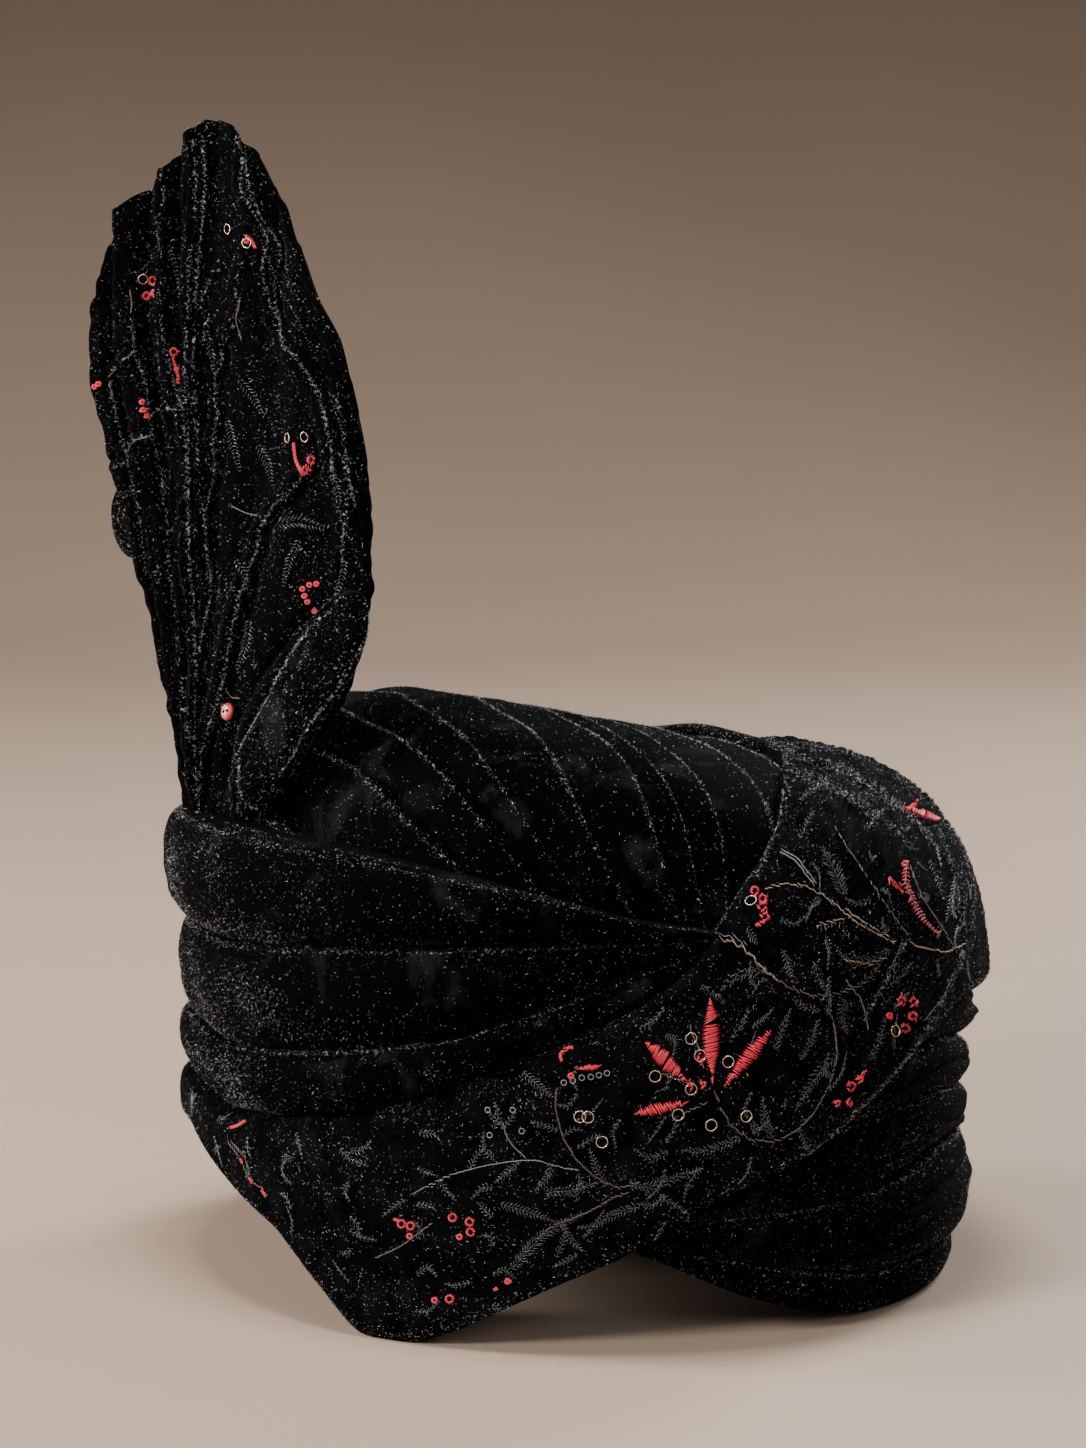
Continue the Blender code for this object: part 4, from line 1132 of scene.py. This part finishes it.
# Feather leaf: a fine spine with stitches on both sides that lean towards its tip, longest a
# third of the way up. Its row is a path and the reach of the stitches.
def feather(cloth, find, row, threadName="jet", unit=pixelSize, spine=None, sides=(-1, 1), lean=0.9,
            wide=0.135):
    path, reach = row[:-1], row[-1]
    count = max(int(lengthOf(path) * unit / featherFacts["apart"]), 4)
    line = rounded(path, count)
    ahead = toUnit(np.gradient(line, axis=0))
    side = np.stack([-ahead[:, 1], ahead[:, 0]], -1)
    share = np.linspace(0, 1, count)
    size = reach / unit * (0.35 + 0.65 * np.sin(math.pi * (0.15 + 0.85 * share) ** 0.8))
    for hand in sides:
        wobble = 1 + featherFacts["uneven"] * waves(share * 50, 0 * share + hand * 9, 5, count + 3)
        barb = (side * hand + ahead * lean) * (size * wobble)[:, None] * featherFacts["size"]
        sew(cloth, threadName, find(line), find(line + barb), wide=wide, tall=wide * featherFacts["tall"])
    if spine:
        stem(cloth, find, path, spine, unit, wide=featherFacts["spine"])


# Ring on the cloth: centre, radius and tube in millimetres; kept until its mesh is made.
def ring(cloth, find, spot, threadName="sequin", radius=1.5, thick=0.2):
    cloth["rings"].append((threadName, find(np.array([spot], float))[0], radius, thick))


rosetteFacts = dict(count=14, swirl=0.35, wide=0.24, tall=0.28)


# Round stitched petal: stitches that run outwards round a small hole.
def rosette(cloth, find, spot, inner=0.5, outer=1.5, unit=pixelSize):
    angle = np.linspace(0, math.tau, rosetteFacts["count"])
    turned = angle + rosetteFacts["swirl"]
    way, swirl = (np.stack([np.cos(a), np.sin(a)], -1) for a in (angle, turned))
    spot = np.array([spot], float)
    sew(cloth, "red", find(spot + way * inner / unit), find(spot + swirl * outer / unit),
        wide=rosetteFacts["wide"], tall=rosetteFacts["tall"])


# Tiny beads: short fat spindles at points of a path.
def beads(cloth, find, path, threadName="sequin", every=1.2, size=0.26, lift=0.25):
    line = evenly(path, max(int(lengthOf(path) * pixelSize / every), 2))
    half = toUnit(np.gradient(line, axis=0)) * size / pixelSize
    sew(cloth, threadName, find(line - half), find(line + half), wide=size, tall=size, lift=lift)


ringFacts = dict(round=18, tube=6, lift=0.3)


# Torus round each kept ring place: a circle carried round a circle in the cloth's own plane.
def ringMesh(cloth, rows):
    spots = np.array([row[1] for row in rows])
    centre, normal = onCloth(cloth, spots, ringFacts["lift"])
    helper = np.where(np.abs(normal[:, 2:]) < 0.8, [[0, 0, 1.0]], [[1.0, 0, 0]])
    first = toUnit(np.cross(normal, helper))
    second = np.cross(normal, first)
    big, small = ringFacts["round"], ringFacts["tube"]
    round1, round2 = roundTurn(big)[None, :, None], roundTurn(small)[None, None, :, None]
    radius, thick = (np.array([row[k] for row in rows])[:, None, None, None] for k in (2, 3))
    way = first[:, None] * np.cos(round1) + second[:, None] * np.sin(round1)
    tubes = way[:, :, None] * (radius + thick * np.cos(round2))
    tubes = tubes + normal[:, None, None] * thick * np.sin(round2)
    points = (centre[:, None, None] + tubes).reshape(-1, 3)
    faces = [gridFaces(big, small, True, True, first=n * big * small) for n in range(len(rows))]
    return points, outward(points, np.concatenate(faces).tolist())


# One mesh for each thread of a cloth, from all its kept stitches and rings.
def finishSewing(cloth, name, slot):
    for threadName, material in threads.items():
        points, faces = np.zeros((0, 3)), []
        if threadName in cloth["basket"]:
            kept = zip(*cloth["basket"][threadName])
            a, b, normal, wide, tall = (np.concatenate(part) for part in kept)
            bends = 3 if threadName == "red" else 2
            points, faces = spindles(a, b, normal, wide, tall, sides=4, rows=bends)
        rows = [row for row in cloth["rings"] if row[0] == threadName]
        if rows:
            more, moreFaces = ringMesh(cloth, rows)
            faces = list(faces) + (np.array(moreFaces) + len(points)).tolist()
            points = np.concatenate([points, more])
        if len(faces):
            keepMesh(name + "_" + threadName, points, faces, material, slot)


# Sew rows of a table of places with their stitches: the table's key, the stitch and its settings.
def sewPlaces(cloth, find, places, stitches):
    for key, stitch, settings in stitches:
        for row in places[key]:
            stitch(cloth, find, row, **settings)


band = clothOf(bandFace, place(bandAngles[:, None], 1.0, 0.3) * np.ones_like(bandFace))
onBand = viewed(band)

# Needlework of the band where the view shows it, in pixels of the view. Petals: base, tip, width.
# Ferns and leaves: path, then the stitches' reach in millimetres.
bandPlaces = dict(
    petals=[((712, 1082), (710, 999), 20), ((687, 1081), (645, 1042), 18.5),
            ((723, 1086), (770, 1030), 15), ((690, 1101), (634, 1114), 13),
            ((577, 1069), (602, 1066), 8), ((901, 808), (940, 821), 9), ((904, 815), (917, 801), 7)],
    rings=[(655, 1076), (691, 1086), (691, 1036), (728, 1064), (678, 1116), (711, 1124), (746, 1118),
           (580, 1117), (588, 1117), (602, 1141), (700, 1059), (751, 901), (895, 1031)],
    flowers=[(755, 891), (763, 899), (762, 907), (765, 917), (851, 1086), (901, 1001), (913, 1002),
             (912, 1016), (905, 1028), (453, 1218), (470, 1222), (471, 1232), (402, 1224), (411, 1226),
             (450, 1299)],
    dots=[(410, 1236), (460, 1237), (435, 1300), (571, 1076), (837, 1103), (849, 1103), (860, 1079),
          (889, 1016), (904, 864), (703, 1084), (690, 1085), (700, 1059), (508, 1281)],
    redLines=[[(562, 1062), (560, 1054), (566, 1050), (573, 1047)],
              [(764, 920), (761, 923), (756, 926)], [(865, 1070), (861, 1077), (856, 1080)],
              [(394, 1219), (400, 1221)], [(246, 1121), (238, 1126), (231, 1128)],
              [(241, 1159), (243, 1163)], [(250, 1178), (253, 1182)], [(262, 1190), (267, 1196)],
              [(505, 1282), (512, 1281)], [(494, 1290), (498, 1288)],
              [(888, 878), (895, 885), (903, 892)]],
    redFeather=[((906, 861), (905, 883), (914, 905), (924, 922), (937, 933), 1.7)],
    redSpine=[[(906, 861), (905, 883), (914, 905), (924, 922), (937, 933)]],
    goldStems=[[(765, 889), (786, 883), (810, 888), (822, 895), (844, 911)],
               [(886, 957), (866, 964), (845, 960)], [(720, 937), (744, 948), (764, 970), (778, 980)],
               [(910, 945), (946, 953), (965, 943)]],
    bronzeStems=[[(714, 1091), (720, 1107), (732, 1127), (750, 1140), (775, 1142), (799, 1129),
                  (815, 1111), (830, 1084), (837, 1056), (834, 1023), (826, 1007)],
                 [(720, 937), (744, 948), (764, 970), (785, 986), (811, 996), (834, 995), (858, 986)],
                 [(557, 1088), (555, 1106), (562, 1136), (576, 1160), (596, 1178), (619, 1188),
                  (639, 1183)], [(228, 1141), (241, 1159), (251, 1182), (264, 1188)],
                 [(707, 1103), (695, 1108), (683, 1113)], [(376, 1258), (402, 1246), (432, 1223)],
                 [(536, 1239), (556, 1224), (571, 1219), (594, 1209), (612, 1198), (629, 1193)]],
    doubleBronze=[[(844, 911), (866, 926), (895, 942)]],
    doubleGrey=[[(781, 851), (796, 859), (810, 878), (815, 884)]],
    greyLines=[[(834, 827), (861, 868), (886, 905), (910, 939)],
               [(910, 866), (920, 895), (943, 929), (953, 946)], [(720, 934), (735, 938), (747, 945)],
               [(413, 1194), (436, 1181), (458, 1173), (483, 1166), (513, 1161), (536, 1160),
                (559, 1167), (579, 1170)], [(503, 1123), (506, 1135), (513, 1146), (526, 1158)],
               [(690, 1028), (697, 1045), (704, 1068)], [(663, 1073), (676, 1078), (690, 1084)],
               [(846, 980), (862, 1000), (868, 1030)], [(953, 973), (944, 995), (924, 1020)]],
    nappedLines=[[(781, 781), (776, 813), (769, 849), (757, 876)],
                 [(965, 953), (940, 1005), (914, 1050), (880, 1090), (856, 1113)],
                 [(856, 1113), (830, 1140), (805, 1156)], [(907, 940), (884, 985), (862, 1020)],
                 [(800, 742), (850, 752), (900, 775), (940, 810), (965, 850)],
                 [(790, 752), (840, 765), (890, 795), (930, 835)],
                 [(786, 765), (830, 782), (880, 815), (915, 850)],
                 [(930, 790), (958, 830), (974, 880), (972, 930)],
                 [(800, 758), (850, 775), (905, 812), (940, 850)], [(960, 862), (966, 900), (957, 935)],
                 [(796, 775), (845, 795), (878, 822)], [(938, 828), (954, 870), (958, 910)],
                 [(915, 775), (945, 805), (968, 850)]],
    loops=[(564, 1082), (573, 1080), (582, 1079), (591, 1077), (599, 1075), (607, 1073), (488, 1110),
           (490, 1135), (513, 1110), (522, 1131)],
    beads=[[(662, 1072), (687, 1085)], [(721, 1090), (735, 1083), (747, 1074)]],
    ferns=[((523, 1072), (538, 1085), (552, 1097), 2.4), ((546, 1193), (572, 1190), (596, 1183), 2.2),
           ((501, 1204), (528, 1212), (554, 1221), 2.4), ((556, 1257), (563, 1243), (566, 1229), 2.0),
           ((518, 1259), (524, 1252), (529, 1244), 2.0), ((844, 895), (835, 872), (822, 849), 3.0),
           ((889, 950), (868, 963), (848, 960), (838, 952), 2.4),
           ((783, 950), (788, 965), (792, 980), 2.4), ((814, 965), (819, 978), (824, 989), 2.2),
           ((764, 970), (750, 972), (735, 978), (722, 988), 2.6),
           ((700, 985), (712, 992), (724, 1003), 2.0),
           ((837, 1056), (822, 1068), (808, 1088), (797, 1108), 2.4),
           ((772, 1138), (765, 1120), (762, 1098), 2.2), ((799, 1130), (806, 1145), (808, 1156), 1.8),
           ((730, 1040), (744, 1022), (748, 1010), 1.6), ((774, 1050), (782, 1030), (790, 1010), 1.8),
           ((800, 1060), (812, 1040), (818, 1020), 1.8),
           ((740, 1138), (720, 1146), (700, 1152), (684, 1150), 2.4),
           ((668, 1152), (650, 1160), (636, 1150), 2.0), ((606, 1186), (596, 1168), (590, 1150), 2.0),
           ((631, 1187), (655, 1186), (680, 1176), (702, 1168), 2.4),
           ((700, 1168), (690, 1180), (684, 1196), 2.0),
           ((512, 1269), (527, 1252), (542, 1236), (560, 1225), (580, 1215), 3.0),
           ((562, 1224), (570, 1240), (582, 1250), 2.2), ((552, 1164), (548, 1178), (536, 1190), 2.2),
           ((519, 1162), (508, 1172), (496, 1182), 2.0), ((470, 1170), (476, 1156), (486, 1146), 1.8),
           ((504, 1128), (496, 1118), (488, 1112), 1.6), ((504, 1128), (512, 1118), (516, 1110), 1.6),
           ((558, 1130), (546, 1126), (532, 1122), 1.8), ((562, 1136), (574, 1128), (582, 1130), 1.6),
           ((440, 1180), (446, 1192), (456, 1200), 1.8),
           ((640, 1206), (620, 1212), (600, 1222), (584, 1236), 2.4),
           ((660, 1196), (676, 1206), (688, 1214), 1.8), ((800, 800), (812, 790), (828, 784), 2.0),
           ((800, 838), (806, 826), (812, 812), 2.0), ((848, 800), (862, 796), (878, 800), 2.4),
           ((864, 830), (876, 820), (884, 808), 2.0), ((930, 860), (938, 880), (944, 900), 2.2),
           ((955, 880), (952, 900), (946, 920), 2.0), ((870, 900), (858, 905), (846, 900), 1.6),
           ((780, 920), (794, 925), (806, 916), 1.8), ((858, 986), (872, 975), (880, 962), 2.0),
           ((845, 1000), (840, 1015), (846, 1032), 2.2), ((870, 1060), (880, 1040), (884, 1020), 2.0),
           ((820, 1010), (806, 1008), (794, 1000), 2.0), ((890, 985), (902, 975), (912, 962), 1.8),
           ((405, 1200), (392, 1208), (384, 1216), 1.8), ((340, 1150), (352, 1160), (368, 1166), 1.8),
           ((470, 1282), (458, 1286), (446, 1284), 1.6), ((350, 1230), (362, 1238), (376, 1240), 1.6),
           ((620, 1120), (612, 1132), (616, 1146), 1.6)],
    hangingLeaf=[((844, 919), (831, 921), (817, 926), 3.4)],
    hangingSpine=[[(844, 919), (831, 921), (817, 926)]],
)
bandStitches = (
    ("petals", petal, {}),
    ("rings", ring, dict(radius=1.6)),
    ("flowers", rosette, dict(inner=0.6, outer=1.6)),
    ("dots", rosette, dict(inner=0.2, outer=1.15)),
    ("redLines", stem, dict(threadName="red", rows=2, spread=0.45, wide=0.26)),
    ("redFeather", feather, dict(threadName="red", lean=0.5, wide=0.24, spine="red")),
    ("redSpine", stem, dict(threadName="grey", wide=0.2)),
    ("goldStems", stem, dict(threadName="gold", wide=0.16, twist=0.3)),
    ("bronzeStems", stem, dict(wide=0.16, twist=0.3)),
    ("doubleBronze", stem, dict(threadName="gold", rows=2, spread=1.1, wide=0.15, twist=0.22)),
    ("doubleGrey", stem, dict(threadName="grey", rows=2, spread=0.9, wide=0.16)),
    ("greyLines", stem, dict(threadName="grey", wide=0.12)),
    ("loops", ring, dict(threadName="grey", radius=0.75, thick=0.13)),
    ("beads", beads, {}),
    ("ferns", feather, dict(spine="jet")),
    ("hangingLeaf", feather, dict(sides=(-1,), lean=0.4)),
    ("hangingSpine", stem, dict(threadName="gold", wide=0.15)),
)


# Seats of a grid that the view doesn't see, or only those that it sees, on a lattice whose
# columns are staggered.
def seatsOf(cloth, stepRows, stepColumns, seen, margin=9):
    facing = cloth["facing"]
    rows, columns = facing.shape
    found = []
    for k, i in enumerate(range(margin, rows - margin, stepRows)):
        for j in range(margin + (k % 2) * stepColumns // 2, columns - margin, stepColumns):
            near = facing[i - margin:i + margin + 1, j - margin:j + margin + 1]
            if near.all() if seen else not near.any():
                found.append((i, j))
    return found


# Single dark ferns, each curved and turned its own way.
def strewFerns(cloth, seats, seed, threadName="jet", longest=11.0):
    rng = np.random.default_rng(seed)
    for seat in seats:
        turn, bend, long = rng.uniform(0, math.tau), rng.uniform(-3, 3), rng.uniform(0.5, 1.0) * longest
        row = ((0, 0), (long * 0.5, bend), (long, bend * 0.3), rng.uniform(1.2, 2.2))
        feather(cloth, seated(cloth, seat, turn), row, threadName, unit=1.0, spine=threadName, wide=0.15)


# Sprigs over the sides that the view doesn't show: a curved stem, ferns on it and a flower.
def strewSprigs(cloth, seats, seed, reds=0.5):
    rng = np.random.default_rng(seed)
    for seat in seats:
        find = seated(cloth, seat, rng.uniform(0, math.tau))
        curl = rng.choice((-1, 1)) * rng.uniform(4, 8)
        path = ((0, 0), (8, curl * 0.5), (16, curl), (24, curl * 0.6))
        stem(cloth, find, path, unit=1.0, rows=2, spread=0.4)
        for share, hand in ((0.25, 1), (0.5, -1), (0.75, 1), (0.98, -1)):
            x, y = 24 * share, curl * math.sin(share * 2.4)
            row = ((x, y), (x + 4, y + hand * 5), (x + 7, y + hand * 10), rng.uniform(1.6, 2.4))
            feather(cloth, find, row, unit=1.0, spine="jet")
        if rng.random() < reds:
            for angle in np.linspace(-0.9, 0.9, 4) + math.pi:
                way = np.array([math.cos(angle), math.sin(angle)])
                petal(cloth, find, (way * 2.5, way * 13, rng.uniform(3.6, 5.0)), unit=1.0)
                ring(cloth, find, way * 16)
        else:
            for angle in (0.0, 2.1, 4.2):
                rosette(cloth, find, (2.4 * math.cos(angle), 2.4 * math.sin(angle)), unit=1.0)
            ring(cloth, find, (-4, 2))


sewPlaces(band, onBand, bandPlaces, bandStitches)
strewFerns(band, seatsOf(band, 9, 22, True), 90, longest=9.0)
bulgeSeats = [seat for seat in seatsOf(band, 7, 18, True) if seat[0] > bandLook["bulge"]]
strewFerns(band, bulgeSeats, 93, "grey", longest=6.0)
strewSprigs(band, seatsOf(band, 17, 56, False), 91, 0.35)
finishSewing(band, "band", "embroidered_band")
stage("band needlework")


fanCloth = clothOf(fanFront, foot["out"])
onFan = viewed(fanCloth)

# Needlework of the fan, in pixels of the view.
fanPlaces = dict(
    flowers=[(153, 281), (147, 296), (156, 293), (174, 352), (311, 460), (306, 470)],
    dots=[(177, 369), (179, 381), (95, 387), (99, 384), (142, 402), (146, 416), (303, 589), (310, 585),
          (317, 584), (305, 596), (308, 602), (315, 611), (247, 241), (143, 410)],
    rings=[(143, 279), (247, 243), (305, 437), (228, 229), (288, 438)],
    redLines=[[(294, 443), (296, 460), (303, 476)], [(173, 357), (176, 366), (179, 378)],
              [(246, 236), (252, 240), (256, 248)]],
    bronzeLines=[[(109, 376), (122, 361), (134, 352)], [(150, 417), (158, 410), (167, 409), (181, 410)],
                 [(126, 454), (129, 446), (138, 439), (152, 435)], [(232, 506), (246, 513), (258, 516)],
                 [(226, 690), (232, 698), (240, 698)], [(130, 290), (132, 304), (131, 313)],
                 [(240, 300), (236, 320), (242, 340)]],
    greyLines=[[(330, 392), (342, 430), (350, 482), (356, 507)],
               [(261, 240), (281, 290), (300, 320), (312, 350)], [(240, 130), (246, 150), (247, 190)]],
    ferns=[((278, 524), (300, 521), (323, 528), 3.0), ((240, 380), (252, 395), (262, 412), 2.2),
           ((206, 330), (212, 352), (214, 372), 1.8), ((258, 445), (268, 462), (272, 480), 2.4),
           ((236, 560), (246, 576), (250, 596), 2.0), ((250, 620), (246, 645), (238, 668), 2.4),
           ((330, 470), (338, 490), (340, 510), 1.8), ((346, 560), (342, 580), (336, 600), 1.8),
           ((170, 250), (176, 266), (178, 282), 1.6), ((228, 420), (234, 445), (240, 470), 2.0),
           ((300, 540), (290, 560), (284, 585), 2.0)],
)


fanStitches = (
    ("flowers", rosette, dict(inner=0.55, outer=1.6)),
    ("dots", rosette, dict(inner=0.15, outer=1.05)),
    ("rings", ring, dict(radius=1.4)),
    ("redLines", stem, dict(threadName="red", rows=2, spread=0.45, wide=0.27)),
    ("bronzeLines", stem, dict(wide=0.18)),
    ("greyLines", beads, dict(threadName="grey", every=1.0, size=0.14)),
    ("ferns", feather, dict(wide=0.15)),
)
# Grey beads along the higher ridges are painted highlights: they stand for the bright dotted lines where
# the fan's fold edges catch the light.
highlightBeadsFrom = 1.3  # millimetres of rise from which a ridge of the fan has beads

sewPlaces(fanCloth, onFan, fanPlaces, fanStitches)
for path, rise, reach in fanLines.values():
    if rise >= highlightBeadsFrom:
        beads(fanCloth, onFan, path, "grey", every=1.5, size=0.17)
finishSewing(fanCloth, "fan", "fan")


# Red button: its pixel in the view, radii and rises from its foot up, and two dark holes.
button = dict(spot=(230, 712), sizes=(2.2, 2.6, 2.6, 2.2, 1.5, 0.7),
              rises=(-0.3, 0.1, 0.8, 1.4, 1.65, 1.5), lift=0.4, fromMiddle=1.04, holeRise=1.45,
              holeDeep=0.3, holeWide=0.6)


# The button's rings: circles in the plane of the cloth. Its holes are fat dark spindles.
def makeButton():
    (spot,), (normal,) = onCloth(fanCloth, onFan([button["spot"]]), button["lift"])
    first = toUnit(viewRight - normal * (viewRight @ normal))
    second = np.cross(normal, first)
    size, rise = (np.array(button[key])[:, None, None] for key in ("sizes", "rises"))
    turned = roundTurn(32)[None, :, None]
    body = spot + size * (first * np.cos(turned) + second * np.sin(turned)) + normal * rise
    keepMesh("fan_button", *tube(body), buttonRed, "fan")
    holes = spot + np.array([[-1.0], [1.0]]) * first * button["fromMiddle"] + normal * button["holeRise"]
    deep, wide = normal * button["holeDeep"], button["holeWide"]
    points, faces = spindles(holes - deep, holes + deep, np.repeat(first[None], 2, 0), wide, wide, 10, 3)
    keepMesh("fan_button_holes", points, faces, plainVelvet, "fan")


makeButton()
stage("fan needlework")


# Loose fibres: strewn thinly over all the cloth, densest on folded edges, at the left ends of the
# rolls, where the light rakes them, and along the ridges of the fan. Their few bright ones are painted
# glints.
pileCounts = dict(turn_1=15000, turn_2=15000, turn_3=15000, turn_4=11000, base_roll=4000, crown=32000,
                  embroidered_band=30000, fan=14000, fan_flap=4500, fan_back_fold=1500, top_tuck=2500)


def pileOnRolls():
    for k, (name, (angles, grid)) in enumerate(grids.items()):
        face = grid[:, :baseLook["round"] if name == "base_roll" else rollLook["round"]]
        level = np.linspace(-1, 1, face.shape[1])[None]
        a = angles[:, None]
        patch = np.clip(waves(a, level * 20, 26, 100 + k) * 1.2 + 0.5, 0.1, 2)
        left = 4.5 * np.exp(-((a - 74) / 17) ** 2) * np.exp(-((level + 0.1) / 0.6) ** 2) * patch
        edge = 5.0 * np.exp(-((level - 0.62) / 0.055) ** 2)
        weight = 0.15 + 0.45 * patch + left + edge
        pileOn(name, face, place(a, 1.0, 0.0), weight, pileCounts[name], 200 + k)


def pileOnCrown():
    steps = np.linspace(0, 90, crownFront.shape[1])[None]
    spread = waves(crownLines[:, None] * 1.2, steps, 18, 120)
    edges = 12.0 * (crownRises[:, None] > 0.97) + np.clip(0.5 * spread + 0.6, 0.2, 1)
    pileOn("crown", crownFront, crownFront - (0, 0, 60), edges, pileCounts["crown"], 210)


def pileOnBand():
    i, j = np.indices(bandFace.shape[:2])
    patch = np.clip(waves(i * 1.1, j * 0.5, 22, 131) * 1.2 + 0.6, 0.1, 2)
    hem = 3.0 * np.exp(-((j - 4) / 4) ** 2) + 2.5 * np.exp(-((bandFace.shape[1] - 5 - j) / 5) ** 2)
    name = "embroidered_band"
    pileOn(name, bandFace, band["normals"], patch + hem, pileCounts[name], 211, lean=(0.1, 0.6))
    for k, path in enumerate(bandPlaces["nappedLines"]):
        pileAlong(name, band, onBand, path, 20, 240 + k, strewn=0.5)


def pileOnFan():
    patch = 0.4 + np.clip(waves(fanColumns[None] * 5, fanRows[:, None] * 150, 18, 141), 0, 1)
    pileOn("fan", fanFront, foot["out"], patch, pileCounts["fan"], 212)
    for k, (path, rise, reach) in enumerate(fanLines.values()):
        if rise > 0:
            pileAlong("fan", fanCloth, onFan, path, 7 + 3 * rise, 300 + k, strewn=0.06 * reach)
            pileAlong("fan", fanBackCloth, onFan, path, 3, 330 + k, strewn=0.1 * reach)


def pileOnFolds():
    folded = dict(fan_flap=flapRings, fan_back_fold=backFoldRings, top_tuck=tuckRings)
    for k, (name, rings) in enumerate(folded.items()):
        outwards = rings - rings.mean(1, keepdims=True)
        pileOn(name, rings, outwards, np.ones(rings.shape[:2]), pileCounts[name], 220 + k)
    for k, path in enumerate(flapEdges.values()):
        pileAlong("fan_flap", flapCloth, viewed(flapCloth), path, 16, 230 + k, strewn=0.2)


fanBackCloth = clothOf(fanBack, -foot["out"])
flapCloth = clothOf(flapRings, flapRings - flapRings.mean(1, keepdims=True))
pileOnRolls()
pileOnCrown()
pileOnBand()
pileOnFan()
pileOnFolds()
finishPile()
stage("pile")


# Floor and backdrop, in metres: where the floor begins and bends up, its radius and the backdrop's
# height, half its width and its turn. Then its colours, and the height at which its painted shade, which
# darkens the backdrop upwards, is darkest.
backdrop = dict(front=-4.0, bend=1.6, radius=1.4, tall=5.0, wide=5.0, turn=math.radians(-15), rough=0.6,
                pale=(0.37, 0.27, 0.20, 1), paler=(0.43, 0.315, 0.235, 1), dark=(0.020, 0.015, 0.012, 1),
                paintedShadeAt=0.85)


# Floor that sweeps up into a backdrop: a flat run, a quarter circle and a wall.
def paleFloor():
    bend, radius = backdrop["bend"], backdrop["radius"]
    quarter = np.linspace(0, math.pi / 2, 24)
    run = np.concatenate([np.linspace(backdrop["front"], bend, 12), bend + radius * np.sin(quarter)[1:],
                          np.full(6, bend + radius)])
    rise = np.concatenate([np.zeros(12), radius - radius * np.cos(quarter)[1:],
                           np.linspace(radius + 0.2, backdrop["tall"], 6)])
    x, y = np.meshgrid(np.linspace(-backdrop["wide"], backdrop["wide"], 9), run)
    z = np.repeat(rise[:, None], 9, 1)
    c, s = math.cos(backdrop["turn"]), math.sin(backdrop["turn"])
    points = np.stack([x * c - y * s, x * s + y * c, z], -1)
    mesh = bpy.data.meshes.new("floor")
    mesh.from_pydata(points.reshape(-1, 3).tolist(), [], gridFaces(*z.shape).tolist())
    mesh.polygons.foreach_set("use_smooth", np.full(len(mesh.polygons), True))
    made = bpy.data.objects.new("floor", mesh)
    bpy.context.scene.collection.objects.link(made)
    paint, spot = newMaterial("paleFloor")
    grain = node(paint, "TexNoise", Vector=spot, Scale=3.0, Detail=6.0).outputs["Fac"]
    height = node(paint, "SeparateXYZ", Vector=spot).outputs["Z"]
    # Painted shade: the backdrop's colour darkens with height.
    high = node(paint, "MapRange", Value=height, From_Max=backdrop["paintedShadeAt"]).outputs["Result"]
    colour = blendColours(paint, grain, backdrop["pale"], backdrop["paler"])
    colour = blendColours(paint, high, colour, backdrop["dark"])
    mesh.materials.append(finishMaterial(paint, Base_Color=colour, Roughness=backdrop["rough"]))


# Lights: place, size, power and colour. They all look at the middle of the turban.
lamps = dict(
    key=dict(spot=(-1.5, -0.9, 1.0), size=0.5, power=40, colour=(1.0, 0.98, 0.95)),
    fill=dict(spot=(0.4, -1.9, 0.9), size=0.9, power=16, colour=(0.97, 0.98, 1.0)),
    rimLeft=dict(spot=(-1.4, 0.7, 0.6), size=0.5, power=30, colour=(1.0, 0.97, 0.94)),
    rimRight=dict(spot=(1.3, 0.9, 1.0), size=0.6, power=30, colour=(0.96, 0.98, 1.0)),
    top=dict(spot=(-0.1, -0.1, 1.7), size=0.6, power=28, colour=(1.0, 1.0, 1.0)),
)
studio = dict(middle=(0, 0, 0.14), colour=(0.62, 0.58, 0.54, 1), strength=0.25)


def makeLights():
    for name, facts in lamps.items():
        lamp = bpy.data.lights.new(name, "AREA")
        lamp.shape = "DISK"
        lamp.size, lamp.energy, lamp.color = facts["size"], facts["power"], facts["colour"]
        made = bpy.data.objects.new(name, lamp)
        made.location = facts["spot"]
        made.rotation_mode = "QUATERNION"
        made.rotation_quaternion = (Vector(studio["middle"]) - made.location).to_track_quat("-Z", "Y")
        bpy.context.scene.collection.objects.link(made)
    world = bpy.data.worlds.new("studio")
    world.use_nodes = True
    sky = world.node_tree.nodes["Background"]
    sky.inputs["Color"].default_value = studio["colour"]
    sky.inputs["Strength"].default_value = studio["strength"]
    bpy.context.scene.world = world


paleFloor()
makeLights()
stage("floor and lights")
